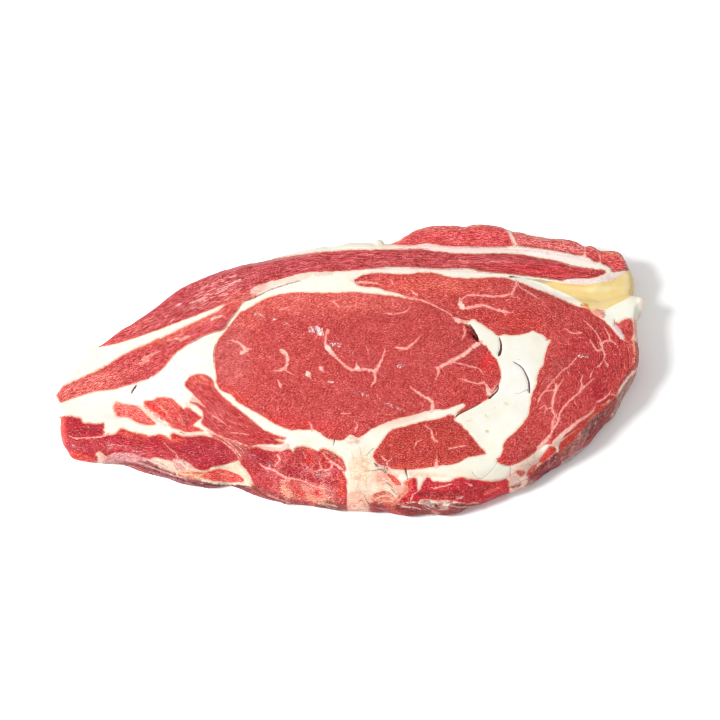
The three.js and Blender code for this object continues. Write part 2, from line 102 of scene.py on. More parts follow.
MUSCLES = {
    "eye": Muscle((200, 75, 73), CROSS_GRAIN, 1.3, outline=[
        (214.8, 350), (218.5, 339.8), (229.2, 326.5), (233.2, 320.5), (241.2, 312), (246.2, 310),
        (256.5, 303.3), (272, 296.5), (290, 292.8), (330, 293), (354, 292.5), (395, 296), (404, 297.8),
        (414, 299.4), (425, 301.4), (440, 307.8), (456, 316), (463, 323), (470, 325.5), (474, 331),
        (478, 339), (482.8, 344.5), (486, 346), (489.5, 350.5), (492.3, 355.5), (495.5, 357.8), (498, 363),
        (501, 376), (497.5, 386), (493.5, 392), (488, 398.5), (480, 403), (460.5, 412.6), (457, 414),
        (460.6, 409.3), (465.5, 406.3), (463.2, 403.2), (455.5, 405.7), (445.3, 409.3), (434, 409.5),
        (421.6, 412), (410, 416), (398.5, 418.3), (383.5, 423.5), (372, 429), (363, 435), (357, 437.5),
        (350, 434.8), (344, 439.5), (336, 440), (327.6, 438.5), (320, 433), (313.5, 429.6), (300, 430),
        (289, 429.6), (274, 423.3), (257.4, 413), (246, 407), (237, 401.6), (230.6, 394.5), (222, 391),
        (217.5, 385), (216, 375), (214.3, 360)]),
    "crescent": Muscle((201, 75, 72), CRESCENT_GRAIN, 1.6, outline=[
        (353.9, 281), (358.7, 277.7), (366.4, 274.2), (386, 272.8), (393, 273.9), (410, 274), (418, 272.5),
        (428, 272.3), (436, 273.3), (450, 277.3), (475, 278.2), (488, 277.2), (500, 277.4), (507, 278.6),
        (514, 281.2), (520, 282.2), (530, 286.4), (550, 294), (570, 303.2), (579, 306.9), (585, 307.8),
        (590, 310.4), (594.5, 314.6), (600, 317.6), (609, 326), (621, 338.4), (626, 341.6), (632, 340),
        (636, 342), (641, 350), (641, 364), (638, 367.6), (632, 371.6), (622, 384.4), (618.6, 391),
        (616.6, 397), (619, 402), (613, 408.5), (604, 410), (597, 413.4), (591, 418), (580, 433),
        (577, 439.4), (571.5, 443.2), (567, 448), (563, 455), (559, 452), (559.8, 443.4), (566, 438.2),
        (573, 432.4), (580.6, 428), (566, 437), (559, 439.4), (555, 442.4), (551, 443.8), (546, 444.4),
        (537, 450), (529, 457), (518, 463), (512, 465), (505, 465), (496.5, 461), (500, 456.5), (503, 450),
        (503.5, 445), (506.5, 439), (510, 436.5), (514, 433), (518, 428.4), (526, 419.5), (530.5, 406),
        (531.2, 400), (533.1, 391.6), (536.3, 385), (537, 379), (539.5, 371), (543.3, 364.8), (545.3, 354.6),
        (547.8, 346.4), (551, 340.5), (549, 339.5), (546.3, 340.5), (545.9, 337.4), (543, 334.8),
        (536.3, 332.3), (533, 330.4), (527.4, 333), (514.6, 335.2), (504.4, 334.4), (498, 335.5),
        (491.7, 330.8), (477.7, 321.3), (473.2, 318.8), (468.5, 321), (460, 320.5), (452, 316.6),
        (433, 306.5), (406.5, 296.8), (400, 294), (392, 291.5), (385, 290.5), (381, 288.4), (375, 287.5),
        (366, 287), (358.7, 285.4)]),
    "outer strip": Muscle((234, 72, 66), HEM_GRAIN, 3.0, soft=0.5, bare=True, outline=[
        (549.6, 446.4), (553.6, 446.6), (556.6, 449), (555.8, 452.6), (551.4, 455.6), (547, 459.4),
        (542.6, 463.2), (539.2, 461.6), (542.6, 455.6), (546.4, 450.4)]),
    "outer hem": Muscle((234, 108, 90), HEM_GRAIN, 3.0, bare=True, outline=[
        (528.4, 471.4), (531, 467.4), (535.4, 464.8), (539, 462.6), (537, 466.4), (533, 470.4),
        (529.6, 474.4), (526.6, 476.6)]),
    "low triangle": Muscle((234, 110, 94), [(515, 470), (526, 474)], 1.5, soft=0.5, outline=[
        (516.6, 471), (521, 470.4), (525, 472.4), (521.6, 476.6), (518.4, 474.4)]),
    "red bit": Muscle((216, 86, 82), [(600, 300), (645, 360)], 1.6, soft=0.6, outline=[
        (614.8, 322.6), (619, 322.8), (625.6, 318.8), (629.4, 318.4), (632.2, 321), (634, 331),
        (632.8, 335.6), (631, 340), (627.4, 342), (624.6, 339.4), (620.6, 330.6)]),
    "long strip": Muscle((195, 77, 81), LONG_STRIP_GRAIN, 4.5, outline=[
        (100, 346.3), (103, 342), (112, 334), (142, 310.5), (160, 298), (180, 286), (190, 280), (200, 276),
        (223, 268), (240, 263.6), (255, 260.4), (270, 259.4), (300, 254.8), (335, 250.8), (378, 249.8),
        (386, 249.3), (400, 249.8), (420, 249), (433, 251), (442, 251.7), (452, 253), (476, 253.8),
        (505, 253.3), (525, 255), (535, 257.4), (555, 260.5), (570, 265.4), (590, 268.4), (603, 270),
        (606.6, 271.8), (602.4, 275), (596, 277.4), (588, 278.4), (575, 278.2), (567, 279.2), (561.6, 280.8),
        (555, 279.6), (535, 276.6), (485, 271.4), (471, 268.2), (462, 267.8), (440, 268.5), (414, 267),
        (386, 267), (351, 270.4), (312.4, 272.2), (300, 273.4), (292, 276), (278, 280), (271, 281),
        (266, 283.2), (254.4, 287.6), (251.2, 291), (250.6, 296), (244, 300.6), (229, 304.4), (222.4, 304.4),
        (210, 310), (150, 332.6), (121.6, 341.8)]),
    "first cap": Muscle((232, 92, 92), CAP_GRAIN, 2.2, soft=0.45, bare=True, outline=[
        (386, 243.4), (392, 242.8), (398, 240.6), (402, 236), (405, 230), (411, 225), (420, 222), (440, 220),
        (480, 219), (500, 222), (505.6, 228), (512.4, 242), (513.8, 245.4), (505, 246.4), (490, 246.8),
        (455, 246), (440, 245), (424, 243.3), (411, 245.6), (403, 245.4), (395, 244.4), (388, 244.2)]),
    "second cap": Muscle((232, 113, 110), CAP_GRAIN, 2.2, soft=0.45, bare=True, outline=[
        (511, 227), (517, 227.4), (525, 231), (541, 234), (570, 239), (580, 240), (584.4, 246), (584, 254),
        (582, 255.6), (577, 255), (570, 253.2), (567, 251.6), (565, 252.4), (560, 251.5), (541, 248.5),
        (525, 246.6), (518.4, 245.4), (515.8, 241), (513.2, 236)]),
    "third cap": Muscle((226, 90, 90), CAP_GRAIN, 2.2, soft=0.45, bare=True, outline=[
        (585.4, 246), (590, 244), (596.6, 246.6), (597.8, 251.6), (599, 256), (600, 260.4), (598, 262),
        (594, 261.6), (592, 259.6), (589, 257.6), (585.2, 255.4)]),
    "fourth cap": Muscle((226, 90, 88), CAP_GRAIN, 2.2, soft=0.45, bare=True, outline=[
        (598.4, 247), (606, 248.6), (614, 250), (622, 252.6), (627.4, 258), (628.6, 263), (628.2, 268),
        (627, 270.8), (624, 270.4), (613.6, 272), (611, 270.4), (611.4, 268.4), (607, 265.4), (603, 264.4),
        (600.6, 261.6), (600, 256)]),
    "second strip": Muscle((209, 83, 84), SECOND_STRIP_GRAIN, 2.6, soft=0.6, outline=[
        (54, 392), (66, 384.5), (83.2, 377), (106, 366), (120.6, 356.4), (135, 349), (150, 342.6),
        (210, 315), (222, 308), (226, 303), (233, 298.6), (241, 295.2), (246, 292.6), (252, 294), (256, 296),
        (250, 299), (243.6, 301.6), (240.2, 305.4), (238, 309.2), (228.2, 322), (226, 326.8), (222, 330.2),
        (210, 333), (200, 337.6), (186, 345.5), (173.6, 355), (168.6, 361.5), (162, 369), (156, 374),
        (147, 379), (138, 381.8), (126, 386), (113.8, 388.9), (98, 391), (83.2, 394.5), (70, 399),
        (60.5, 402), (57.5, 397)]),
    "first scrap": Muscle((240, 106, 98), SCRAP_GRAIN, 2.0, soft=0.7, outline=[
        (113.6, 406), (114.8, 403.2), (118, 402.2), (122.4, 403.6), (127.6, 404.6), (133, 405), (138, 406.6),
        (142, 409.6), (146, 414), (154, 421.4), (155.6, 423.6), (152, 424.8), (140, 423.4), (128.6, 417.6),
        (123, 416.8), (117.4, 416.2), (114.6, 412)]),
    "second scrap": Muscle((219, 80, 77), SECOND_SCRAP_GRAIN, 2.0, soft=0.5, outline=[
        (143.8, 402.4), (152, 400.4), (156, 398.4), (161, 397.4), (167, 397.7), (173, 399.4), (180.4, 406.4),
        (183, 409), (186, 407.4), (190, 409), (195, 412), (199, 415.4), (202, 417.6), (198.6, 420.4),
        (195, 423), (193.4, 425.4), (197, 427), (200, 429), (203.4, 431), (197, 431.6), (190, 432),
        (184, 431.4), (178, 429.4), (173, 427.4), (166, 421), (162, 417), (148, 407.6)]),
    "long muscle": Muscle((199, 74, 73), LONG_MUSCLE_GRAIN, 3.0, soft=0.5, outline=[
        (185, 385.8), (186.5, 380.5), (191.6, 376), (197, 374), (203, 374), (208, 376), (212.5, 380),
        (214.5, 386), (219, 392.5), (225, 398.5), (259, 426), (266, 431), (282, 437), (286.4, 438.6),
        (281, 439.6), (274, 438.8), (280, 441), (284.4, 442.6), (280, 444.4), (270, 444.2), (260, 444.6),
        (252, 445.8), (245, 444.6), (229, 439.4), (215, 433), (206, 427), (201, 422), (203.5, 417.5),
        (202, 411.5), (196, 405.5), (190.4, 403), (192, 401), (197, 402.6), (202, 404), (196, 397.5),
        (190, 391)]),
    "streaked web": Muscle((196, 98, 96), WEB_GRAIN, 5.0, outline=[
        (209, 433.4), (215, 434.4), (229, 440), (245, 445.6), (252, 446.4), (256, 448.6), (249, 450.4),
        (241, 459), (239.6, 462.6), (238.4, 457), (234, 450.4), (229.6, 446.4), (220, 439.8), (214, 437.2)]),
    "tail muscle": Muscle((184, 50, 60), TAIL_GRAIN, 2.6, soft=0.65, bare=True, outline=[
        (58, 419), (62.4, 416.2), (68, 415.8), (76, 417.4), (81, 418.4), (83, 422.4), (90, 423.4),
        (97, 423.9), (103.4, 423.4), (104.2, 427), (103.6, 430), (104.6, 432.6), (103.4, 435.4), (108, 435),
        (113, 434.4), (117, 432), (120, 428.7), (124, 428.6), (130, 431), (144, 434.4), (150, 436.5),
        (158, 434.5), (163, 435), (167.6, 437.4), (171.2, 440), (170.2, 435), (173, 433.2), (177, 434),
        (182, 436), (190, 436), (200, 435.4), (208, 436.2), (220, 440.2), (233.6, 450.8), (237.4, 456),
        (239, 460), (235, 461.3), (226, 464.7), (218, 466.4), (211.6, 467.6), (208.6, 470.2), (202, 470.8),
        (195.6, 468.8), (185, 461.5), (179, 459.3), (174.2, 459.6), (172.8, 463), (170, 461), (164, 460),
        (157, 458.6), (152, 459.7), (140, 457.8), (129, 453.5), (124, 454), (118, 453.2), (114, 454),
        (110, 456.4), (106, 457), (103.4, 454.6), (100, 452.5), (96.4, 453.6), (99, 457.4), (98.8, 461.4),
        (97, 466), (88, 468), (80, 468), (70, 463), (60, 456), (54, 448), (52, 430)]),
    "red scrap": Muscle((226, 84, 74), [(120, 468), (160, 476)], 1.5, bare=True, outline=[
        (136.4, 469.8), (140, 469.4), (145, 470.8), (149.4, 473.4), (147, 476.4), (141, 476), (137, 473.6)]),
    "slope muscle": Muscle((234, 92, 82), SLOPE_GRAIN, 2.5, bare=True, outline=[
        (199, 477), (204, 474.2), (209, 471.2), (219, 468.8), (225, 470), (237, 473.6), (242, 477),
        (244.4, 480.2), (241, 482.4), (233, 482.7), (216, 481), (208, 479.4)]),
    "rib end": Muscle((184, 53, 59), RIB_GRAIN, 1.5, soft=0.6, bare=True, outline=[
        (255, 446.7), (262, 448.5), (268, 450.4), (276, 451), (282, 450.5), (287, 448.6), (291, 449.8),
        (293, 452.6), (295, 449), (298.4, 446.8), (305, 446.8), (313, 449), (318, 450.5), (322, 448.6),
        (328, 450), (339, 456.5), (343, 461), (345.4, 467), (345.4, 471), (341.8, 471.6), (344, 474),
        (346.4, 480), (347.4, 496), (347.8, 501), (347.2, 507), (349, 514), (330, 515), (315, 510),
        (300, 506.4), (290, 501.6), (280, 497.4), (270, 494), (255.6, 487), (249.6, 476), (245, 470),
        (241.2, 466), (240.2, 462), (242, 457), (246, 452.2)]),
    "lozenge": Muscle((196, 71, 65), LOZENGE_GRAIN, 1.4, soft=0.44, outline=[
        (373.3, 455), (374.5, 450.5), (378.3, 447), (383.5, 439), (391, 430), (401.2, 427.2), (413, 423.8),
        (428, 420.5), (443, 417.8), (447, 415.6), (452.4, 414.8), (455, 417.3), (454, 420.4), (459, 423),
        (464.5, 428.5), (471.4, 436), (479, 445.5), (486, 453.3), (478, 455.5), (467.6, 457.3), (460, 461.5),
        (452.2, 464.2), (433, 466.4), (422, 468.4), (400, 470), (383.5, 466), (377, 463), (374, 459.5)]),
    "red strand": Muscle((238, 98, 84), [(370, 460), (420, 500)], 2.0, outline=[
        (385.6, 473), (390.6, 474.2), (396, 478), (400, 482.4), (401.4, 485.4), (397, 485), (393, 482.6),
        (390.4, 478.6)]),
    "low muscle": Muscle((200, 48, 60), LOW_GRAIN, 1.7, soft=0.6, bare=True, outline=[
        (395, 503), (399, 499.6), (406, 493.4), (407.8, 489.6), (406.8, 486), (404.4, 483), (408.4, 480.2),
        (413, 477.6), (416, 478.6), (417.4, 484), (417.5, 490.6), (419.4, 489.6), (424.2, 480.4),
        (427, 477.6), (430, 477.8), (433.4, 481.4), (437.4, 481.5), (443, 482), (450, 481.4), (455, 478.6),
        (461, 477.3), (468, 479), (475, 479.5), (490, 481.4), (500, 481), (506, 479), (508.6, 481),
        (509, 486), (511, 490), (512, 496), (500, 504), (488, 510), (482, 505), (474, 502.8), (466, 503.6),
        (452, 501), (445, 500.5), (437, 501), (430, 500), (422, 499.6), (418, 502.4), (412, 502),
        (398, 504)]),
}

LIGAMENT = [
    (516, 277.4), (540, 279.3), (550, 281), (575, 284), (590, 284), (612, 280), (624, 272.6), (628.4, 270),
    (631.4, 273), (634.6, 286), (633.4, 293), (629, 298), (614, 305.5), (606, 309.6), (600, 309.4),
    (594, 311.4), (588, 308.4), (575, 299), (560, 291.4), (552, 288.4), (546, 285), (538, 282), (528, 279.6)]

# Lines of fat: the width in px at the start and at the end, then the points that the line passes.
VEINS = {
    "fork top": (4.4, 3.0, [(327.4, 331.4), (326, 336)]),
    "fork trunk": (2.4, 3.4, [
        (326, 334), (325.2, 341), (326, 346.4), (330, 352.5), (336, 357.5), (348, 367.8), (355, 369.8),
        (366, 369.5), (374, 371.5)]),
    "fork shoulder": (6.4, 3.0, [(327.4, 347.4), (331, 352), (338, 358.6)]),
    "fork knot": (3.0, 6.0, [(356.4, 362.6), (357.4, 368.4)]),
    "fork knot side": (2.4, 3.6, [(351.6, 371), (358, 369.4), (366, 369.8)]),
    "fork up": (4.2, 1.6, [(374, 371.5), (378.5, 366.5), (384.5, 352), (384, 347.5)]),
    "fork down": (3.4, 1.8, [(374.3, 372), (375.3, 380), (372, 384), (371, 387)]),
    "left hook": (4.6, 3.0, [(281.7, 350.8), (286.7, 355), (287.2, 362), (284, 368.6), (274, 370.6)]),
    "left hook foot": (1.6, 0.9, [(284.5, 368), (289, 372.5), (294, 375)]),
    "left twig": (2.0, 4.6, [(230, 340), (239, 343), (245, 350), (241.7, 353)]),
    "left twig tip": (3.6, 1.6, [(245, 350), (251.7, 348.3)]),
    "first fleck": (6.8, 5.0, [(308, 374), (310.5, 378)]),
    "second fleck": (5.4, 3.8, [(321.5, 368.5), (323.5, 372)]),
    "third fleck": (4.0, 3.0, [(329, 381.5), (332, 382)]),
    "fourth fleck": (2.8, 4.0, [(278.3, 380), (280.3, 386)]),
    "fifth fleck": (2.0, 3.0, [(257, 312), (262, 315.5)]),
    "top twig": (1.4, 3.0, [(330, 301), (335, 303), (338.3, 306.7)]),
    "faint dash": (2.0, 1.2, [(280.5, 309.4), (290, 306.4)]),
    "upper hook": (1.6, 1.6, [(385, 313), (393.3, 314), (403.3, 312.3), (408, 310), (409.2, 306.3)]),
    "dash above eye": (2.4, 3.0, [(409.8, 289.8), (416, 294.4)]),
    "dot in crescent": (2.2, 2.6, [(391.6, 280.6), (392.6, 283.6)]),
    "upper comma": (2.4, 2.2, [(464, 327.5), (465, 333.3), (461.5, 339.5)]),
    "middle twig": (3.6, 1.6, [(397.5, 347.5), (405.8, 348.8), (410, 345.8), (420, 337)]),
    "middle knot": (4.2, 3.4, [(404, 348.4), (408, 348)]),
    "spur root": (5.4, 5.4, [(482, 341.5), (475.5, 345.5), (470, 349.5)]),
    "spur vein": (4.2, 3.8, [(470, 349.5), (463.5, 354.5), (441.7, 365.8), (436, 368)]),
    "spur vein drop": (3.6, 1.8, [(438, 367.5), (438.3, 373.3), (435.6, 379)]),
    "spur twig": (2.0, 1.4, [(450, 362.5), (460, 363.3), (471.7, 366.7), (478.3, 368.3), (483.3, 374.2)]),
    "low twig": (1.6, 2.8, [(460.8, 378.3), (476, 383.4), (484, 382.4)]),
    "wedge": (3.0, 6.0, [(484.4, 381.5), (487.2, 387.2), (489.4, 393.4)]),
    "wedge arm": (2.0, 3.2, [(497.5, 383), (494, 388), (490.4, 393.8)]),
    "lower hook": (2.0, 4.6, [(410, 386.7), (420, 394), (428.3, 398.6), (432.6, 403), (432, 410)]),
    "low streak": (2.2, 1.4, [(342.5, 413.6), (351, 413.2)]),
    "low curl": (1.6, 2.4, [(355, 421), (357.3, 425), (355.4, 431)]),
    "low edge rise": (3.4, 1.0, [(312, 430), (311, 425), (308, 421)]),
    "thin stroke": (1.4, 1.4, [(366.5, 346), (368.3, 353.3)]),
    "seam over eye": (2.4, 1.6, [(404, 296.3), (425.7, 301.8), (446.7, 312), (452, 316)]),
    "seam knot": (4.6, 5.4, [(452.5, 317.3), (459, 321.3)]),
    "seam tail": (2.2, 2.0, [(459, 321.3), (464, 320.6), (470, 321)]),
    "crescent streak": (3.4, 2.0, [(358, 282.6), (373, 283), (383, 285.2)]),
    "crescent knot": (5.4, 6.2, [(459.6, 298.6), (460, 302.6), (462.4, 307)]),
    "crescent upper line": (2.6, 2.8, [
        (462, 299), (466, 296), (471, 294.7), (480, 295.3), (500, 296.2), (508, 294.8), (513, 291.8),
        (514, 288.2), (516.6, 285.6), (516, 281)]),
    "crescent upper tip": (1.4, 1.0, [(509, 296), (520, 298.8)]),
    "crescent lower line": (3.8, 3.0, [(467, 308.3), (483.3, 305.2), (490, 307.4), (496.7, 309.6)]),
    "crescent lower knot": (3.6, 1.4, [(496.7, 309.6), (504, 311.4), (513, 312.6)]),
    "crescent lower drop": (3.8, 1.4, [(503.5, 311), (505.5, 316)]),
    "ridge line": (1.8, 1.8, [(517.5, 284.7), (521, 288), (532, 294), (538.4, 299)]),
    "arc one": (1.6, 1.8, [(565.6, 329), (572, 333), (580.6, 333)]),
    "arc two": (1.2, 1.8, [(584, 320.4), (591, 327), (596, 333), (600, 339.4)]),
    "arc three": (1.4, 2.0, [(604, 327), (608, 333), (610.4, 340)]),
    "shoulder vein": (2.4, 1.6, [(601.6, 342.4), (608, 340.6), (611.4, 341), (617.4, 345.6)]),
    "shoulder drop": (3.2, 2.4, [(601, 343), (603, 350), (605, 355), (603.2, 360)]),
    "shoulder foot": (2.0, 2.2, [(603.2, 360), (600.6, 364.6), (598, 367)]),
    "shoulder toe": (1.8, 2.6, [(605, 361), (608, 365.4)]),
    "shoulder twig": (1.6, 3.2, [(590, 340), (593, 345), (597, 349.8), (600, 350)]),
    "hip line": (1.6, 1.8, [
        (578, 356), (569, 366), (562, 371), (556, 378), (550, 384.4), (546, 390), (541, 396), (538, 402)]),
    "hip knot": (3.0, 2.0, [(569, 366.6), (567.4, 367.4)]),
    "hip branch": (1.4, 3.6, [(553.4, 381.8), (556.4, 385.6), (556, 390.4)]),
    "hip stem": (3.6, 2.0, [
        (556, 389), (553, 399.6), (552.6, 410.4), (554.8, 415.4), (553, 421), (551.8, 427), (551.6, 432)]),
    "hip rung": (1.4, 1.4, [(546.6, 390.6), (555, 390.4)]),
    "hip twig": (1.8, 1.2, [(557.4, 389), (560.8, 383), (563, 379)]),
    "hip loop": (1.4, 1.2, [(540, 408.4), (545, 405), (546, 409), (544.6, 413.6)]),
    "hip loop end": (1.2, 1.8, [(546, 409), (551.4, 408)]),
    "side vein": (1.6, 3.0, [
        (594, 378.6), (589, 382.8), (575.6, 396), (568.4, 402), (562.4, 409), (560, 413), (559.4, 417),
        (557.6, 422.6), (554, 427.6), (551.6, 432.4)]),
    "side knot": (3.8, 2.6, [(580, 391), (577.4, 394.6)]),
    "side foot": (3.4, 5.0, [(552, 431.6), (549.6, 436), (539, 447.4)]),
    "side vein fork": (1.4, 2.4, [(583, 375), (581, 380), (582, 385), (578.6, 394)]),
    "side dot": (2.6, 2.2, [(568, 342), (568.4, 344)]),
    "side fleck": (2.0, 1.4, [(590.6, 376), (592.4, 371.4)]),
    "side fleck low": (2.2, 1.6, [(568, 371.4), (568.6, 374)]),
    "outer vein": (1.4, 2.0, [(612, 389), (608, 395), (603, 399), (597, 402)]),
    "outer seam": (2.4, 5.8, [
        (595.4, 406), (593, 411), (588, 415.4), (580, 420.4), (566, 431.4), (554, 443.4)]),
    "rim line": (3.6, 2.8, [(638.5, 367.4), (632.4, 373), (622.2, 386.4), (617, 396.4)]),
    "rim peach": (2.6, 3.4, [(612, 394.4), (616.6, 396)]),
    "red bit rim": (2.6, 2.2, [(634.6, 321), (635.8, 331), (634, 341), (635, 350)]),
    "lozenge stem": (2.0, 2.8, [(424, 425.5), (431, 430.3), (432.4, 437.2), (436.8, 442)]),
    "lozenge twig": (1.6, 1.6, [(413.8, 447.6), (417, 442.5), (421.8, 439.5)]),
    "lozenge dash": (2.2, 1.6, [(449.4, 448.7), (456, 447.4), (465.5, 445.3)]),
    "lozenge hook": (1.8, 1.6, [(381.7, 456.7), (387.4, 461.6), (392, 457.9)]),
    "lozenge spike": (2.0, 4.6, [(436.8, 456), (436.5, 466)]),
    "tail line": (1.4, 2.4, [(70, 436.4), (76, 438.6), (84, 438), (97, 437.6), (103, 436), (108, 434)]),
    "rib line": (2.2, 2.2, [
        (259.6, 463.6), (266, 468), (273, 470), (285, 477), (291, 478.6), (300, 480), (308, 483), (313, 486),
        (320, 488), (327, 489)]),
    "rib twig": (2.4, 1.6, [(278, 456), (280, 459.4), (277, 463), (275, 466)]),
    "rib hook": (1.6, 1.6, [(303, 452), (305.4, 457.6)]),
    "rib edge line": (1.4, 3.6, [(322, 452.4), (328, 459), (340.4, 468)]),
    "rib net": (1.8, 2.4, [(313, 472), (320, 470), (328, 470), (332, 467), (331, 462)]),
    "rib net rise": (1.4, 1.8, [(319, 462), (322, 468.6)]),
    "web upper": (1.4, 0.8, [(207, 431), (226, 438.4), (238, 441)]),
    "long muscle cream": (3.2, 4.6, [(260.4, 446), (270, 448.6), (281, 449.4), (287, 446)]),
    "long muscle first": (1.8, 1.2, [(218, 418.8), (226, 424)]),
    "long muscle second": (1.6, 1.2, [(213.4, 415.6), (221, 421)]),
    "long muscle third": (2.0, 1.4, [(193, 399), (200, 403.6), (206, 408)]),
    "long muscle fourth": (1.4, 1.0, [(232, 432.6), (240, 433.4), (249.4, 434.6)]),
    "low line": (1.6, 1.8, [(431, 487.4), (436, 488), (450.6, 484.4)]),
    "low spot": (1.8, 3.0, [(466, 483), (471, 485.4)]),
    "low wedge line": (1.2, 1.6, [(417.4, 491.4), (413, 495), (410.6, 500)]),
}

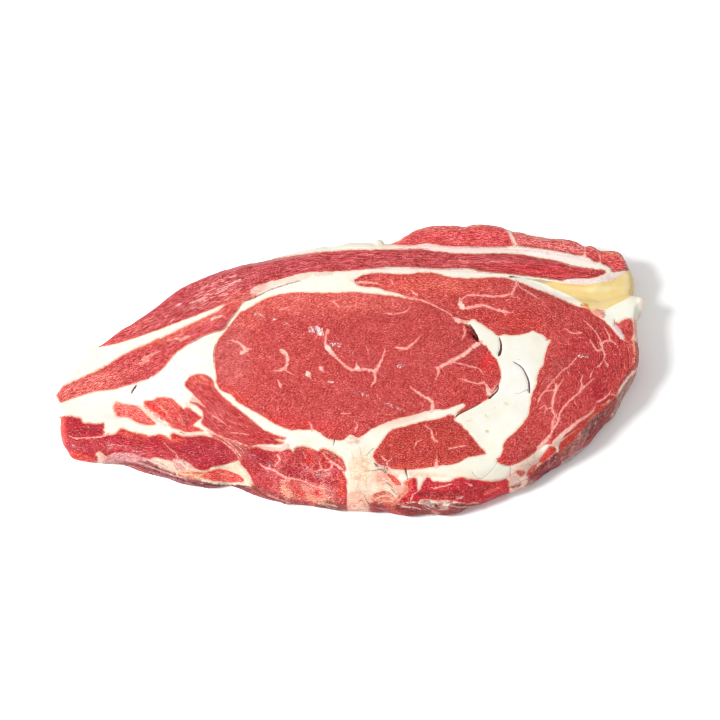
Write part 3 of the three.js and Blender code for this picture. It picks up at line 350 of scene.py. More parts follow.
# Thin streaks and edges of another tone, some of them painted highlights or painted shade: the widths in px,
# the tone and the points.
STRANDS = {
    # The rim's cream line, a real cream tone painted lighter to lift the shade on the right wall.
    "rim cream": (2.2, 2.0, (290, 258, 236), [
        (638.6, 365.6), (632.6, 371.8), (622.2, 385.6), (618.6, 392.2)]),
    "band pink one": (1.4, 1.2, (264, 206, 206), [
        (396, 246.4), (420, 246), (470, 248.8), (500, 249.2), (530, 251)]),
    "band pink two": (1.2, 1.0, (262, 214, 212), [(520, 249.4), (540, 252), (578, 258.8), (596, 264)]),
    "under band pink": (1.2, 1.0, (262, 216, 214), [(376, 270.6), (400, 269.2), (460, 271.4), (490, 274.2)]),
    "gap tissue": (2.4, 4.0, (258, 206, 190), [(140, 406), (147, 413), (155, 419), (165, 425)]),
    "scrap head line": (1.0, 0.8, (246, 158, 140), [(124.6, 404.6), (125.8, 410), (124.6, 416)]),
    "dark bit one": (0.9, 0.8, (160, 84, 66), [(169.8, 425.2), (172, 427.8)]),
    "dark bit two": (0.9, 0.8, (160, 84, 66), [(181, 432.6), (184, 434)]),
    "hook stem": (1.6, 2.2, (252, 190, 172), [(386.6, 461), (387.4, 466), (390, 472)]),
    "dark spot": (1.8, 1.2, (90, 50, 44), [(375, 464.2), (377.4, 466.2)]),
    "dark hair": (0.8, 0.8, (120, 74, 66), [(382.6, 469.6), (386, 473.6), (390, 476.4)]),
    "fibre three": (1.4, 1.0, (254, 228, 202), [(177, 473.4), (188, 474.2), (200, 476.8)]),
    "fibre four": (1.0, 0.8, (190, 96, 72), [(176, 474.8), (186, 476), (197, 478.4)]),
    # Painted highlights: white glints on the wet lean, with a dark gap between them.
    "glint one": (1.6, 1.2, (262, 226, 220), [(311.6, 327.4), (312.6, 331.6)]),
    "glint two": (3.4, 3.0, (268, 250, 246), [(317.4, 328), (320, 334)]),
    "glint four": (1.4, 1.2, (264, 236, 230), [(322, 329.4), (323.4, 334.6)]),
    "glint three": (1.4, 1.2, (252, 220, 216), [(308.6, 328.2), (309.6, 331.4)]),
    "glint dark": (1.2, 1.0, (150, 70, 70), [(314.8, 327), (315.8, 332.6)]),
    "rib bottom light": (1.6, 1.2, (238, 186, 166), [(318, 503), (327, 504.6), (336, 506)]),
    "rib bottom dark": (1.6, 1.2, (120, 62, 52), [(324, 507.4), (331, 509.2), (338, 509.4)]),
    "rib side light": (1.2, 1.4, (224, 146, 140), [(268, 494.4), (278, 498), (290, 502.4)]),
    "rib side dark": (1.4, 1.2, (140, 56, 60), [(258, 490.6), (268, 495.8), (280, 500.6)]),
    "foot speckle one": (1.6, 1.4, (248, 208, 190), [(352, 498), (357, 503), (363, 508)]),
    "foot speckle two": (1.4, 1.2, (214, 150, 134), [(354, 506), (361, 500), (366, 506)]),
    "purple light": (1.4, 1.2, (206, 122, 122), [(373, 507), (382, 508), (390, 513)]),
    "wall streak one": (0.8, 1.4, (124, 64, 70), [
        (104, 464.6), (132, 464.6), (146, 467.4), (176, 477.6), (190, 481.8), (204, 484.4)]),
    "wall streak six": (0.8, 1.0, (140, 76, 80), [(140, 460.4), (150, 464), (162, 469.4), (176, 474.6)]),
    "wall red": (1.6, 1.2, (186, 84, 84), [(150, 474), (164, 479), (178, 482.4)]),
    "red scrap edge": (3.8, 2.8, (228, 84, 72), [(137, 468.6), (142.4, 470.4), (148, 472.6)]),
    "wall streak two": (1.0, 1.4, (228, 172, 170), [
        (110, 459.6), (124, 459.2), (136, 461.4), (172, 474.2), (186, 478.4)]),
    "wall streak three": (1.0, 0.8, (216, 156, 156), [(104, 462.4), (128, 464.6), (140, 468)]),
    "wall streak four": (1.8, 1.6, (104, 70, 70), [(206, 482.6), (218, 484.8), (232, 485.2), (248, 486.4)]),
    "wall streak five": (0.8, 0.8, (206, 140, 142), [(150, 470.6), (164, 476), (196, 484.6)]),
    "tag line one": (0.9, 0.7, (196, 130, 124), [(156, 461), (162, 463.4), (168, 467)]),
    "tag line two": (1.0, 0.8, (184, 116, 112), [(173.6, 461), (175.4, 466), (177.6, 469.6)]),
    "tag line three": (0.8, 1.2, (248, 222, 206), [(177, 460.6), (182, 463.6), (187.6, 468.4)]),
    "seam red": (5.6, 5.0, (222, 62, 48), [(601, 407.6), (567, 441), (562, 447)]),
    "side grey one": (2.0, 2.6, (128, 112, 118), [(598, 415), (591, 420.4), (586.4, 428), (583, 436)]),
    "side grey two": (1.6, 1.2, (112, 84, 86), [(600, 420), (594, 425), (586, 438)]),
    "side red one": (3.0, 3.0, (168, 56, 60), [(604, 418), (587, 438.6)]),
    "side grey three": (1.6, 2.2, (206, 190, 188), [(582, 448), (575, 454), (561, 463.4)]),
    "side dark one": (1.6, 1.2, (96, 42, 44), [(612, 404), (609, 408.4), (607.4, 411.6)]),
    "side peach one": (2.4, 1.6, (250, 184, 148), [(609, 400.8), (606, 403.8), (601, 406)]),
    "lower streak one": (1.2, 1.4, (206, 118, 118), [(541, 470.6), (550, 464), (558, 458)]),
    "lower streak two": (1.4, 1.2, (126, 52, 60), [(538, 474.6), (548, 469.6), (558, 463.6)]),
    "column one": (1.2, 0.8, (244, 212, 186), [(352, 452), (353.6, 462), (355, 474)]),
    "column two": (1.0, 1.2, (244, 206, 182), [(360, 448), (361, 460), (358, 488)]),
    "column three": (1.0, 1.0, (242, 206, 182), [(368, 466), (366, 476), (366.6, 487)]),
    "column hair": (0.8, 0.6, (150, 128, 104), [(372.6, 449), (369.4, 452), (366.6, 455.4)]),
    "column hair two": (0.9, 1.2, (170, 142, 124), [(380, 469.6), (374, 470.6), (368, 471)]),
    "by column one": (1.6, 1.2, (240, 160, 140), [(378, 480), (384, 476.6), (388.6, 471.6)]),
    "by column two": (1.8, 1.4, (252, 214, 190), [(376, 486), (383, 482), (390, 480)]),
    "by column dark": (1.2, 0.8, (140, 70, 58), [(384, 464.6), (386.6, 468), (388, 472)]),
    "fold light": (1.8, 1.4, (250, 186, 162), [(375, 499.4), (381, 496.4), (388, 496), (394, 499.2)]),
    "fold light four": (1.4, 1.2, (248, 176, 152), [(379, 502.8), (386, 500.2), (393, 501.8)]),
    "fold red": (1.8, 2.2, (212, 84, 74), [(373.6, 495), (379, 492.8), (384.6, 492.6)]),
    "horn rim": (4.0, 4.6, (238, 126, 104), [(405.6, 483.4), (405.2, 490), (401, 496), (395.6, 501.4)]),
    "tissue dark": (0.9, 0.8, (150, 84, 72), [(392, 489.6), (396, 493.4), (399, 497.6)]),
    "fold dark one": (1.0, 1.0, (120, 50, 46), [(399, 497), (403.4, 500), (405, 503)]),
    "fold dark two": (1.2, 0.9, (124, 62, 62), [(397, 505), (424, 515)]),
    "fold dark three": (1.0, 1.4, (132, 76, 76), [(426, 505.6), (442, 512), (450, 516)]),
    "fold light two": (1.0, 1.4, (232, 186, 178), [(400, 506.4), (410, 506.6), (420, 508.6)]),
    "fold light three": (1.0, 1.0, (236, 190, 180), [(452, 505.6), (462, 506.8), (474, 506)]),
    "cap rim": (2.4, 2.4, (242, 136, 118), [
        (388, 243.4), (398, 241.8), (409, 232), (416, 229), (428, 227.2), (455, 226), (470, 226.4),
        (484, 225.4), (500, 227)]),
    "second cap rim": (2.4, 2.4, (240, 134, 116), [
        (516, 233), (526, 236.6), (540, 239.4), (556, 240.4), (570, 243), (580, 245), (583.6, 250)]),
    "third cap rim": (2.0, 2.0, (240, 136, 116), [(588, 248.4), (594, 248.6), (598, 251.6)]),
    "fourth cap rim": (2.4, 3.4, (244, 146, 116), [
        (602, 251.4), (612, 253.4), (620, 255.6), (625, 260.6), (627, 266)]),
    "cap seam": (2.2, 2.6, (262, 198, 186), [(504, 228), (508.6, 232.4), (514.6, 246)]),
    "orange bit": (2.2, 1.6, (244, 148, 56), [(581.6, 304.8), (586, 307.2), (589.4, 309.2)]),
    "third seam": (1.8, 2.6, (262, 196, 184), [(584.4, 247.6), (584.8, 252), (585.6, 257)]),
    "fourth seam": (1.0, 1.2, (236, 132, 122), [(598, 251), (599.6, 256), (600.6, 261)]),
    # Painted shade: dark lines along the strip's lower edges, where it stands over the fat and ligament.
    "strip lower edge": (1.6, 1.8, (132, 44, 50), [
        (366, 268.8), (386, 266.6), (414, 266.6), (440, 268), (462, 267.4), (471, 267.8), (477, 269.8),
        (497, 272.4), (510, 273.4), (555, 279), (562, 280.4)]),
    "strip far edge": (1.2, 1.2, (150, 44, 56), [(568, 278.4), (580, 277.8), (590, 277.8)]),
    "strip back edge": (0.8, 0.8, (150, 66, 64), [
        (376, 250.2), (400, 250.2), (420, 249.4), (433, 251.4), (452, 253.4), (476, 254.2), (505, 253.7),
        (525, 255.4), (562, 262.9), (580, 267.4)]),
    "cap lower edge": (1.0, 1.0, (158, 56, 56), [(440, 244.6), (470, 246.1), (505, 246.2)]),
    "second cap edge": (1.4, 1.6, (140, 50, 56), [(518, 245), (551, 249.4), (578, 254.6)]),
    "third cap edge": (1.2, 1.8, (140, 50, 56), [(585.6, 255), (589, 257), (593, 260), (599, 261.6)]),
    "fourth cap edge": (1.2, 1.8, (132, 40, 46), [
        (601, 262), (607, 264.8), (611, 268), (613.6, 271.6), (620, 270.6), (627.4, 270)]),
    "hair under strip": (0.7, 1.5, (140, 84, 90), [
        (300, 281.2), (293, 282.8), (270, 290.2), (256, 297.2), (244, 302), (240.4, 305.8), (238.2, 309.4),
        (228.4, 322.2), (226.2, 326.9), (222, 330.4), (210, 333.3), (190, 343.4)]),
    "between strips": (2.4, 1.2, (236, 132, 112), [(222, 305), (245, 297.4)]),
    "first pale streak": (1.4, 1.2, (226, 116, 116), [(366, 255), (373, 254.4)]),
    "second pale streak": (1.2, 2.0, (232, 128, 122), [(375, 262.6), (382, 261.4), (388, 262.6)]),
    "third pale streak": (1.6, 2.0, (228, 112, 104), [(413, 255.4), (420, 256.2), (424.4, 257.6)]),
    "fourth pale streak": (1.2, 1.6, (232, 118, 104), [
        (447, 261.6), (455, 260.8), (463, 261.1), (470, 262.1), (483, 262.6)]),
    "fifth pale streak": (1.6, 3.0, (236, 128, 116), [(486, 263.6), (491, 262), (499.4, 261.6)]),
    "sixth pale streak": (1.4, 1.2, (226, 100, 92), [(514, 257.6), (521, 258.6)]),
    # The left glints are painted highlights: pale dashes of light along the strip's fibres.
    "left glint one": (1.6, 1.4, (246, 178, 174), [(228, 285.6), (233, 283), (240, 279.6)]),
    "left glint two": (1.6, 1.4, (240, 170, 168), [(229.6, 277.4), (236.4, 275.8)]),
    "left glint three": (1.6, 1.2, (244, 176, 172), [(217, 293.2), (225, 289.4), (230.6, 284)]),
    "left glint four": (2.2, 1.6, (236, 160, 158), [(218.6, 289.4), (224, 286.6)]),
    "left glint five": (1.8, 1.6, (240, 166, 164), [(201, 288.2), (206.4, 285.8)]),
    "left glint six": (1.6, 2.0, (240, 172, 166), [(190.6, 302.6), (200, 299.2), (206.4, 297.4)]),
    "left glint seven": (1.4, 1.8, (244, 184, 182), [(175.6, 306.4), (180.6, 303.4)]),
    "left glint eight": (2.4, 1.6, (214, 120, 116), [(184, 310.6), (192, 308), (204, 300)]),
    "left glint nine": (1.2, 1.2, (238, 150, 148), [(171, 321.4), (174.6, 318)]),
    "left glint ten": (1.2, 1.0, (240, 160, 154), [(226, 299.4), (230, 297)]),
    "strip shadow": (3.4, 3.0, (160, 66, 76), [(192, 305.6), (198, 303.4)]),
    "purple side": (3.6, 1.6, (176, 74, 84), [(219, 329), (224, 325), (233, 313)]),
    "second strip patch": (3.4, 2.4, (250, 196, 172), [(212.6, 319), (216.4, 317.4), (221, 316)]),
    "second strip fleck": (3.6, 2.6, (246, 176, 158), [(181.6, 339.6), (184.6, 337.8), (188.4, 336.4)]),
    "second strip dash": (1.6, 2.2, (244, 158, 140), [(167.6, 340.6), (172, 339.6), (178, 338.4)]),
    "second strip low": (3.6, 2.8, (246, 164, 148), [(144, 358), (150, 355.4), (158, 351.8)]),
    "second strip end": (3.0, 2.0, (244, 158, 144), [(139, 364), (147.6, 360.4)]),
    # Painted shadow: a dark line where the fat's step shades the eye's left edge.
    "eye outer edge": (0.8, 1.0, (142, 84, 78), [(213.6, 362), (213.8, 352), (215.2, 345)]),
    "deep opening": (6.0, 8.0, (246, 0, 0), [(148, 405.4), (158, 412), (162.6, 416)]),
    "scrap light": (3.0, 2.0, (244, 146, 124), [(160, 406.4), (166, 413), (172, 421)]),
    # Painted shade on the right side of the scrap's fold.
    "scrap fold": (3.0, 4.4, (178, 52, 60), [(181, 409), (184.2, 416), (187.6, 425)]),
    "scrap line": (1.0, 1.4, (242, 172, 152), [(179, 419), (183.4, 425.4)]),
    "scrap grey": (1.4, 2.4, (186, 120, 116), [(187.6, 416.6), (187.2, 421), (188, 424)]),
    "tail block dark": (7.0, 8.0, (166, 44, 56), [(72, 432.4), (84, 431), (97, 430.4)]),
    "tail shade": (6.0, 8.0, (174, 38, 54), [(71, 446), (80, 447), (90, 449)]),
    "tail grey": (3.6, 2.6, (206, 132, 130), [(107, 443.6), (109.6, 447.4), (108, 450)]),
    "tail pale": (1.2, 1.0, (228, 130, 124), [(110, 444.6), (117, 445), (126, 447)]),
    "tail seam": (1.2, 1.6, (228, 130, 124), [(163, 442), (168, 447), (175, 453), (178, 459)]),
    "web one": (1.4, 1.0, (226, 150, 142), [(222, 437.6), (229, 443), (235.4, 450), (240.6, 457.4)]),
    "web two": (1.4, 1.0, (226, 146, 138), [(228, 441), (238, 446), (243.6, 452)]),
    "web three": (1.2, 1.0, (216, 120, 116), [(236, 443.6), (246, 448)]),
    "web dark": (1.8, 1.2, (146, 40, 50), [(243, 456.4), (248, 451.4), (254, 447.8)]),
    "tail dark edge": (1.4, 1.4, (126, 34, 40), [(210, 466.8), (218, 465.8), (237, 460.6)]),
    "slope line": (1.8, 1.6, (252, 228, 206), [(203, 480), (220, 483), (248, 484.4)]),
    "slope light": (2.0, 1.4, (240, 150, 130), [(220, 473), (226, 474.6), (232, 476)]),
    "fibre one": (2.0, 2.4, (236, 128, 96), [(179, 473.4), (188, 472.6), (206, 473)]),
    "fibre two": (1.6, 1.4, (238, 142, 112), [(182, 476), (192, 475.8), (200, 475.4)]),
    "rib dark": (8.0, 5.0, (160, 48, 58), [(254, 458), (262, 462), (274, 466)]),
    "rib dark low": (5.0, 8.0, (168, 44, 56), [(283, 471), (292, 474), (304, 476)]),
    "rib peach one": (6.0, 4.0, (244, 168, 146), [(283.6, 481.4), (289, 479.6)]),
    "rib peach two": (5.0, 7.0, (248, 180, 148), [(283, 487), (286, 492), (289, 496)]),
    "rib peach three": (4.4, 4.0, (246, 158, 136), [(304, 487), (308, 491), (308.6, 495)]),
    "rib peach four": (5.0, 3.4, (242, 150, 124), [(320.6, 487), (324, 493), (325, 499)]),
    "rib foot": (5.0, 4.0, (246, 172, 138), [(311, 499), (320, 500.6), (326, 500)]),
    "rib grey": (4.0, 5.0, (202, 130, 132), [(315, 473.6), (321, 476), (327, 474)]),
    "rib grey low": (4.0, 3.0, (196, 118, 120), [(322, 484), (328, 489), (331, 494)]),
    "rib red one": (7.0, 8.0, (206, 30, 42), [(307, 456), (308, 462)]),
    "rib red two": (6.0, 6.0, (214, 44, 50), [(324, 459), (325.6, 463)]),
    "rib red three": (8.0, 7.0, (234, 78, 68), [(340.6, 479), (341.6, 487), (341, 494)]),
    "rib red four": (6.0, 6.0, (222, 60, 58), [(292, 486), (298, 491), (302, 495)]),
    "rib red five": (5.6, 5.0, (214, 48, 54), [(316, 492), (317.4, 494.6)]),
    "rib edge rim": (4.0, 3.0, (232, 112, 92), [(322, 450), (333, 455.6), (341, 463.4), (344, 470)]),
    "rib top rim": (2.4, 2.4, (232, 114, 96), [(296, 448.6), (304, 448.6), (312, 450.6)]),
    "crescent red one": (3.0, 3.2, (200, 56, 54), [(478, 314.6), (483, 317), (489, 319.6)]),
    "crescent red two": (2.0, 1.6, (192, 62, 60), [(524, 312), (532, 313), (541, 314.6)]),
    "crescent red three": (1.8, 1.8, (176, 20, 34), [(498, 304.4), (503, 304.6)]),
    "crescent low red": (5.0, 7.0, (210, 58, 60), [(500, 459.4), (506, 461), (513, 460)]),
    # Dark red of the gap's inner face, darkened with painted shade.
    "gap red": (6.0, 5.0, (150, 24, 28), [(467.6, 326.4), (471.4, 331), (474, 336)]),
    "side shine": (3.0, 2.0, (236, 120, 92), [(612, 401), (606, 404), (600, 406.6)]),
    "side orange": (4.6, 6.0, (236, 74, 58), [(616, 402.6), (608, 407), (600, 408)]),
    "right rim peach": (3.6, 2.6, (240, 134, 108), [(633, 343), (634.6, 352), (633.6, 361)]),
    "right rim brown": (1.6, 1.8, (146, 92, 80), [(637.2, 344), (638.4, 356), (638.6, 367)]),
    "low left orange": (5.4, 4.4, (240, 92, 76), [(410, 481), (409.6, 488), (406.6, 494)]),
    "low dark one": (5.0, 7.0, (150, 34, 44), [(420, 494), (434, 495), (452, 495.6)]),
    "low dark two": (4.0, 4.4, (138, 26, 38), [(455, 492), (459, 494)]),
    "low dark three": (5.0, 4.0, (160, 28, 40), [(477, 492), (484, 489), (490, 486)]),
    "low spots": (3.4, 2.4, (230, 120, 124), [(458, 498.4), (463, 496.6)]),
    "low right light": (2.6, 1.8, (234, 104, 92), [(486, 494), (494, 490), (500, 487.4)]),
}

# Short strokes down the right wall: each is put at a place along the wall, in px.
WALL_STROKE_COUNT = 44
WALL_STROKE_LINE = ((541, 470), (556, 460), (570, 449), (584, 435), (597, 422), (611, 409))
WALL_STROKE_SPREAD = (2.0, 4.5)
WALL_STROKE_LENGTH = (4.0, 9.0)
WALL_STROKE_LEAN = (0.15, 0.5)
WALL_STROKE_WIDTH = (0.7, 1.8)
WALL_STROKE_END_WIDTH = 0.6
WALL_STROKE_TONES = (
    (208, 184, 178), (124, 52, 58), (198, 84, 76), (142, 104, 108), (104, 60, 66), (222, 150, 138),
    (160, 56, 62))


def wall_strokes():
    """The strokes of the right wall, as strands."""
    draw = random.Random(SEED)
    xs, ys = zip(*WALL_STROKE_LINE)
    across, down = WALL_STROKE_SPREAD
    strokes = {}
    for index in range(WALL_STROKE_COUNT):
        x = draw.uniform(xs[0], xs[-1])
        y = float(np.interp(x, xs, ys)) + draw.uniform(-down, down)
        x += draw.uniform(-across, across)
        length = draw.uniform(*WALL_STROKE_LENGTH)
        lean = draw.uniform(*WALL_STROKE_LEAN)
        ends = [(x, y - length / 2), (x - lean * length, y + length / 2)]
        tone = WALL_STROKE_TONES[index % len(WALL_STROKE_TONES)]
        strokes[f"wall stroke {index}"] = (
            draw.uniform(*WALL_STROKE_WIDTH), WALL_STROKE_END_WIDTH, tone, ends)
    return strokes


STRANDS.update(wall_strokes())

# Skins, folds and lumps that lie over the cut and the wall: the tone, then the outline in px.
SHEETS = {
    "lilac skin": ((220, 152, 152), [
        (103, 459.4), (107, 457), (116, 452.8), (119, 453.8), (130, 454), (141, 457.4), (146, 459.6),
        (140, 462.6), (132, 461.4), (115, 462.4), (107, 463.4)]),
    "peach end": ((244, 196, 176), [
        (96.2, 464.4), (98.2, 460.6), (98.6, 457.6), (96.6, 454.4), (99, 452.6), (102.4, 455), (105, 458),
        (109.6, 458.6), (108, 461.4), (103, 462.4), (99.4, 464.8)]),
    "plum skin": ((160, 64, 70), [
        (100, 466.4), (106, 463.6), (116, 463), (134, 462), (142, 463), (149, 461.4), (154, 464.4),
        (160, 468.6), (154, 472), (146, 471), (137, 468.6), (128, 467.4), (114, 468)]),
    "brown strip": ((158, 78, 82), [
        (133, 465), (140, 462), (146, 460.6), (151, 461.6), (166, 470.4), (180, 475.6), (198, 478.6),
        (203, 480), (212, 483.2), (222, 484), (235, 484.2), (245, 485.4), (252, 488), (252, 491), (238, 491),
        (212, 490), (203, 489), (182, 483.6), (166, 479.2), (158, 477.6), (150, 475), (144, 471),
        (138, 468.4)]),
    "dark strip": ((122, 84, 84), [
        (194, 481), (203, 482), (212, 484), (235, 484.8), (245, 486), (252, 488.6), (252, 491), (238, 491),
        (222, 490.6), (208, 489)]),
    "cream tag": ((244, 208, 186), [
        (151, 459.7), (156, 458.3), (170, 462), (174, 465), (177, 468.6), (178, 471), (172, 470.6),
        (158, 465.2), (154, 462.4)]),
    "lilac tag": ((228, 168, 160), [
        (174.2, 460), (179, 459.2), (185, 461.5), (190, 465), (191.4, 468), (188, 470), (182, 470),
        (178, 469), (175.6, 465.4)]),
    "orange fibres": ((246, 186, 152), [
        (172, 471), (178, 471), (192, 470.2), (200, 471.6), (206, 472), (203, 474.6), (199, 477),
        (204, 479.4), (196, 478.4), (180, 475.2)]),
    "slope cream": ((248, 218, 190), [
        (210, 469.2), (213, 467.8), (226, 465.3), (232, 463.3), (237.6, 461.6), (240.4, 465.4), (249, 476.4),
        (251.6, 482.6), (251.4, 487), (246, 485), (246.6, 480.4), (242.6, 475.8), (236.6, 472),
        (221.6, 467.9), (214.4, 468.6), (211, 470.6)]),
    "rib skin": ((176, 82, 80), [
        (249, 483), (255, 485), (270, 492), (288, 498.4), (296, 500.6), (306, 502.4), (306, 508),
        (290, 507.6), (276, 505), (264, 500), (254, 494)]),
    "rib foot skin": ((158, 92, 84), [
        (314, 505), (321, 502.6), (326, 500.6), (332, 502), (337, 504.4), (341, 505), (344, 507),
        (343, 514.8), (336, 514.6), (324, 512)]),
    # The column foot's peach tone is painted lighter to lift the shade on the wall.
    "column foot": ((254, 194, 170), [
        (348.6, 493.4), (356, 491.4), (364, 494.6), (368, 500), (370.4, 505), (369, 511.4), (358, 513),
        (349.6, 513), (348, 503)]),
    "cream fold": ((252, 212, 186), [
        (370.6, 495), (375, 490), (382, 486.4), (389, 486), (395, 490), (399, 495.6), (396, 498),
        (392, 493.6), (386, 490.6), (379.6, 491.4), (374.4, 495.2)]),
    "pink tissue": ((240, 136, 116), [
        (372, 497), (376, 493.4), (382, 491.8), (388, 493), (393, 496.6), (397, 500.6), (396, 503.4),
        (388, 503), (380, 501.4), (373, 501)]),
    "purple fold": ((172, 76, 78), [
        (370, 504), (374, 501.8), (381, 502.4), (391, 508.4), (396, 513), (390, 517), (378, 515.4),
        (370.6, 513)]),
    "orange lip": ((204, 88, 76), [
        (382, 501.6), (388, 502.6), (400, 511), (405, 514.6), (402, 517), (396, 512.8), (390, 507.8),
        (385, 504.4)]),
    "grey fold": ((166, 62, 64), [
        (392, 504.6), (398, 504), (414, 503), (420.4, 504.4), (426, 508.4), (431, 513), (434, 518),
        (420, 520), (408, 519), (402, 513.4), (396.6, 508.6)]),
    "cream flake": ((212, 168, 160), [
        (420.8, 500.6), (425, 500.4), (430, 501.4), (431.6, 505), (429, 508.6), (425, 506.4), (421.6, 504)]),
    "second flake": ((226, 168, 154), [
        (437, 501.4), (444, 501), (452, 501.8), (450, 503.6), (443, 503.4), (440.6, 506)]),
    "brown hollow": ((140, 72, 66), [(433.4, 504), (436.6, 504), (440, 506.2), (439, 508), (435, 507.2)]),
    "lilac fold": ((164, 78, 78), [
        (450, 504), (458, 503.4), (467, 504.4), (476, 504), (484, 505), (482, 509), (470, 512), (458, 511),
        (450, 508.6)]),
    "pink fold": ((216, 128, 118), [
        (428, 509.4), (434, 508.6), (441, 510), (441, 515), (438, 519), (433, 515)]),
    "brown fold": ((172, 66, 66), [
        (441, 510.4), (448, 510), (456, 511.4), (457, 516), (450, 519), (441, 519)]),
    "right foot": ((262, 212, 194), [
        (510, 489.4), (515, 488), (520, 486.4), (522, 482), (527, 479.6), (524, 486), (519, 491),
        (511, 493)]),
    "grey skin": ((204, 126, 118), [
        (571, 445), (577, 440.4), (580, 434), (586, 424.4), (591.4, 423), (588, 432), (586, 439), (580, 446),
        (576, 452), (571, 458), (566, 463), (563, 457), (567, 450)]),
    "lower skin": ((180, 74, 76), [
        (533, 470.8), (549, 458.4), (555, 453.6), (559, 455), (560, 461), (562, 467), (556, 471), (540, 477),
        (531, 479), (528, 476)]),
    "upper skin": ((196, 92, 88), [
        (592, 421), (598, 414.4), (606, 409.6), (611, 408), (614, 409), (611, 415), (607, 421), (603, 428),
        (588, 446), (580, 454), (576, 456), (578, 449), (585, 441), (588, 432)]),
    "shoulder skin": ((200, 158, 146), [
        (621, 393), (629, 381.6), (634, 376.4), (638.6, 371.6), (639, 378), (635, 385), (630, 390),
        (620, 407), (613, 416), (611.6, 411.6), (615.6, 406.6)]),
    "peach chip": ((236, 186, 160), [(609.6, 413.4), (613, 411.8), (613.4, 414), (611, 416)]),
    "strip lumps": ((246, 194, 180), [
        (250.4, 292.6), (252.6, 289), (257.4, 286.2), (263, 284.4), (266.8, 285), (267, 288.4), (263, 291.4),
        (258.6, 293.6), (254, 295)]),
    "tissue by seam": ((232, 126, 112), [
        (244, 300.6), (251, 295), (256.4, 294), (258, 295.6), (254, 297.8), (249.6, 299.8)]),
    "tissue under strip": ((251, 224, 208), [
        (263, 292), (267, 287.6), (267.4, 284.4), (273, 282.2), (302, 275.4), (316, 274.2), (330, 273.4),
        (330, 275), (314, 277), (292, 282.4), (269, 290)]),
    "skin by ligament": ((252, 230, 222), [
        (562, 282), (566, 280.6), (575, 279.6), (588, 279.6), (597, 278.6), (603, 276.4), (609, 273.4),
        (622, 271.4), (627, 271), (622, 274), (610, 280), (590, 283.4), (568, 283)]),
    "pink by point": ((244, 160, 142), [
        (591, 311.6), (596, 309.8), (601, 310.4), (604, 313), (603.6, 318), (600, 317), (595.6, 314.6)]),
    "pale lens": ((250, 214, 212), [
        (613.8, 325.6), (617, 326), (620.8, 331), (623.6, 336.2), (622.6, 338.8), (619, 336.4),
        (613.4, 328)]),
    "lilac by column": ((228, 178, 172), [
        (376, 464), (380, 465.6), (384, 468.6), (384, 471.6), (379, 470), (376, 468)]),
}

# Openings and folds: widths in px, then the points. The material darkens them with painted shade, over their
# carved grooves.
CRACKS = {
    "by spur": (1.6, 3.0, [(499.6, 338.6), (501, 343), (501, 349), (499.4, 354.2)]),
    "in fat": (1.4, 2.0, [(514.6, 362.3), (519.7, 365.5), (524.2, 370.6), (528.7, 381.4), (529.4, 391.6)]),
    "in fat hair": (0.7, 0.5, [(526, 389.9), (521, 392.9), (516, 393.6)]),
    "by wedge": (1.6, 2.2, [(498.2, 385.3), (497.4, 390.2), (489.8, 397.6)]),
    "under eye": (1.4, 1.8, [(480, 402.9), (473.4, 406.8), (460.6, 412.9), (456.4, 416)]),
    "below spur tip": (1.6, 2.8, [(470.5, 325.4), (473.4, 330), (477.4, 339.4)]),
    "left fat": (2.2, 1.6, [(135.6, 386.4), (133.4, 389.4), (131.8, 392.6)]),
    "under lozenge": (2.0, 1.0, [(405.6, 470), (406.6, 474), (407.6, 478.6)]),
    "by point": (1.0, 0.7, [(614.6, 319.6), (614.2, 325.4)]),
    "hair one": (0.6, 0.5, [(172, 357.8), (177, 367.3)]),
    "hair two": (0.6, 0.5, [(178, 366.3), (184, 370), (190.4, 374.6)]),
    "over eye": (0.5, 0.7, [(430, 305.8), (441.7, 310.4), (450, 315.6)]),
    "low fat": (0.5, 0.7, [(497, 461), (495, 466), (486, 475.6), (480, 478.6), (475, 475.6), (472, 472)]),
    "below tip": (1.0, 0.6, [(502, 464.6), (505.4, 466), (510, 465.6), (510.8, 468.6), (510, 476)]),
    "column": (0.9, 1.2, [(364.6, 496.4), (366.6, 500.6), (369.8, 504.4)]),
    "fold arc": (0.8, 1.0, [(383, 491.4), (388.4, 492.2), (393.4, 496.2)]),
    "tag": (1.2, 0.8, [(386.6, 483), (389.8, 485), (392.6, 487.4)]),
    "strip end": (2.0, 0.6, [(510.4, 276.6), (513.6, 276.8), (520, 277.6)]),
    "wall fold": (0.8, 1.2, [(614, 405.4), (598, 419)]),
    "lip fold": (1.0, 1.0, [(421, 504.6), (427, 508.6), (433, 513)]),
    "small fat": (1.6, 1.0, [(334.4, 440.2), (333.6, 444.4)]),
}

# ------------------------------------------------------------- soft patches of tone
# Each is the tone, the middle and the radii in frame px, the turn in degrees and the strength.

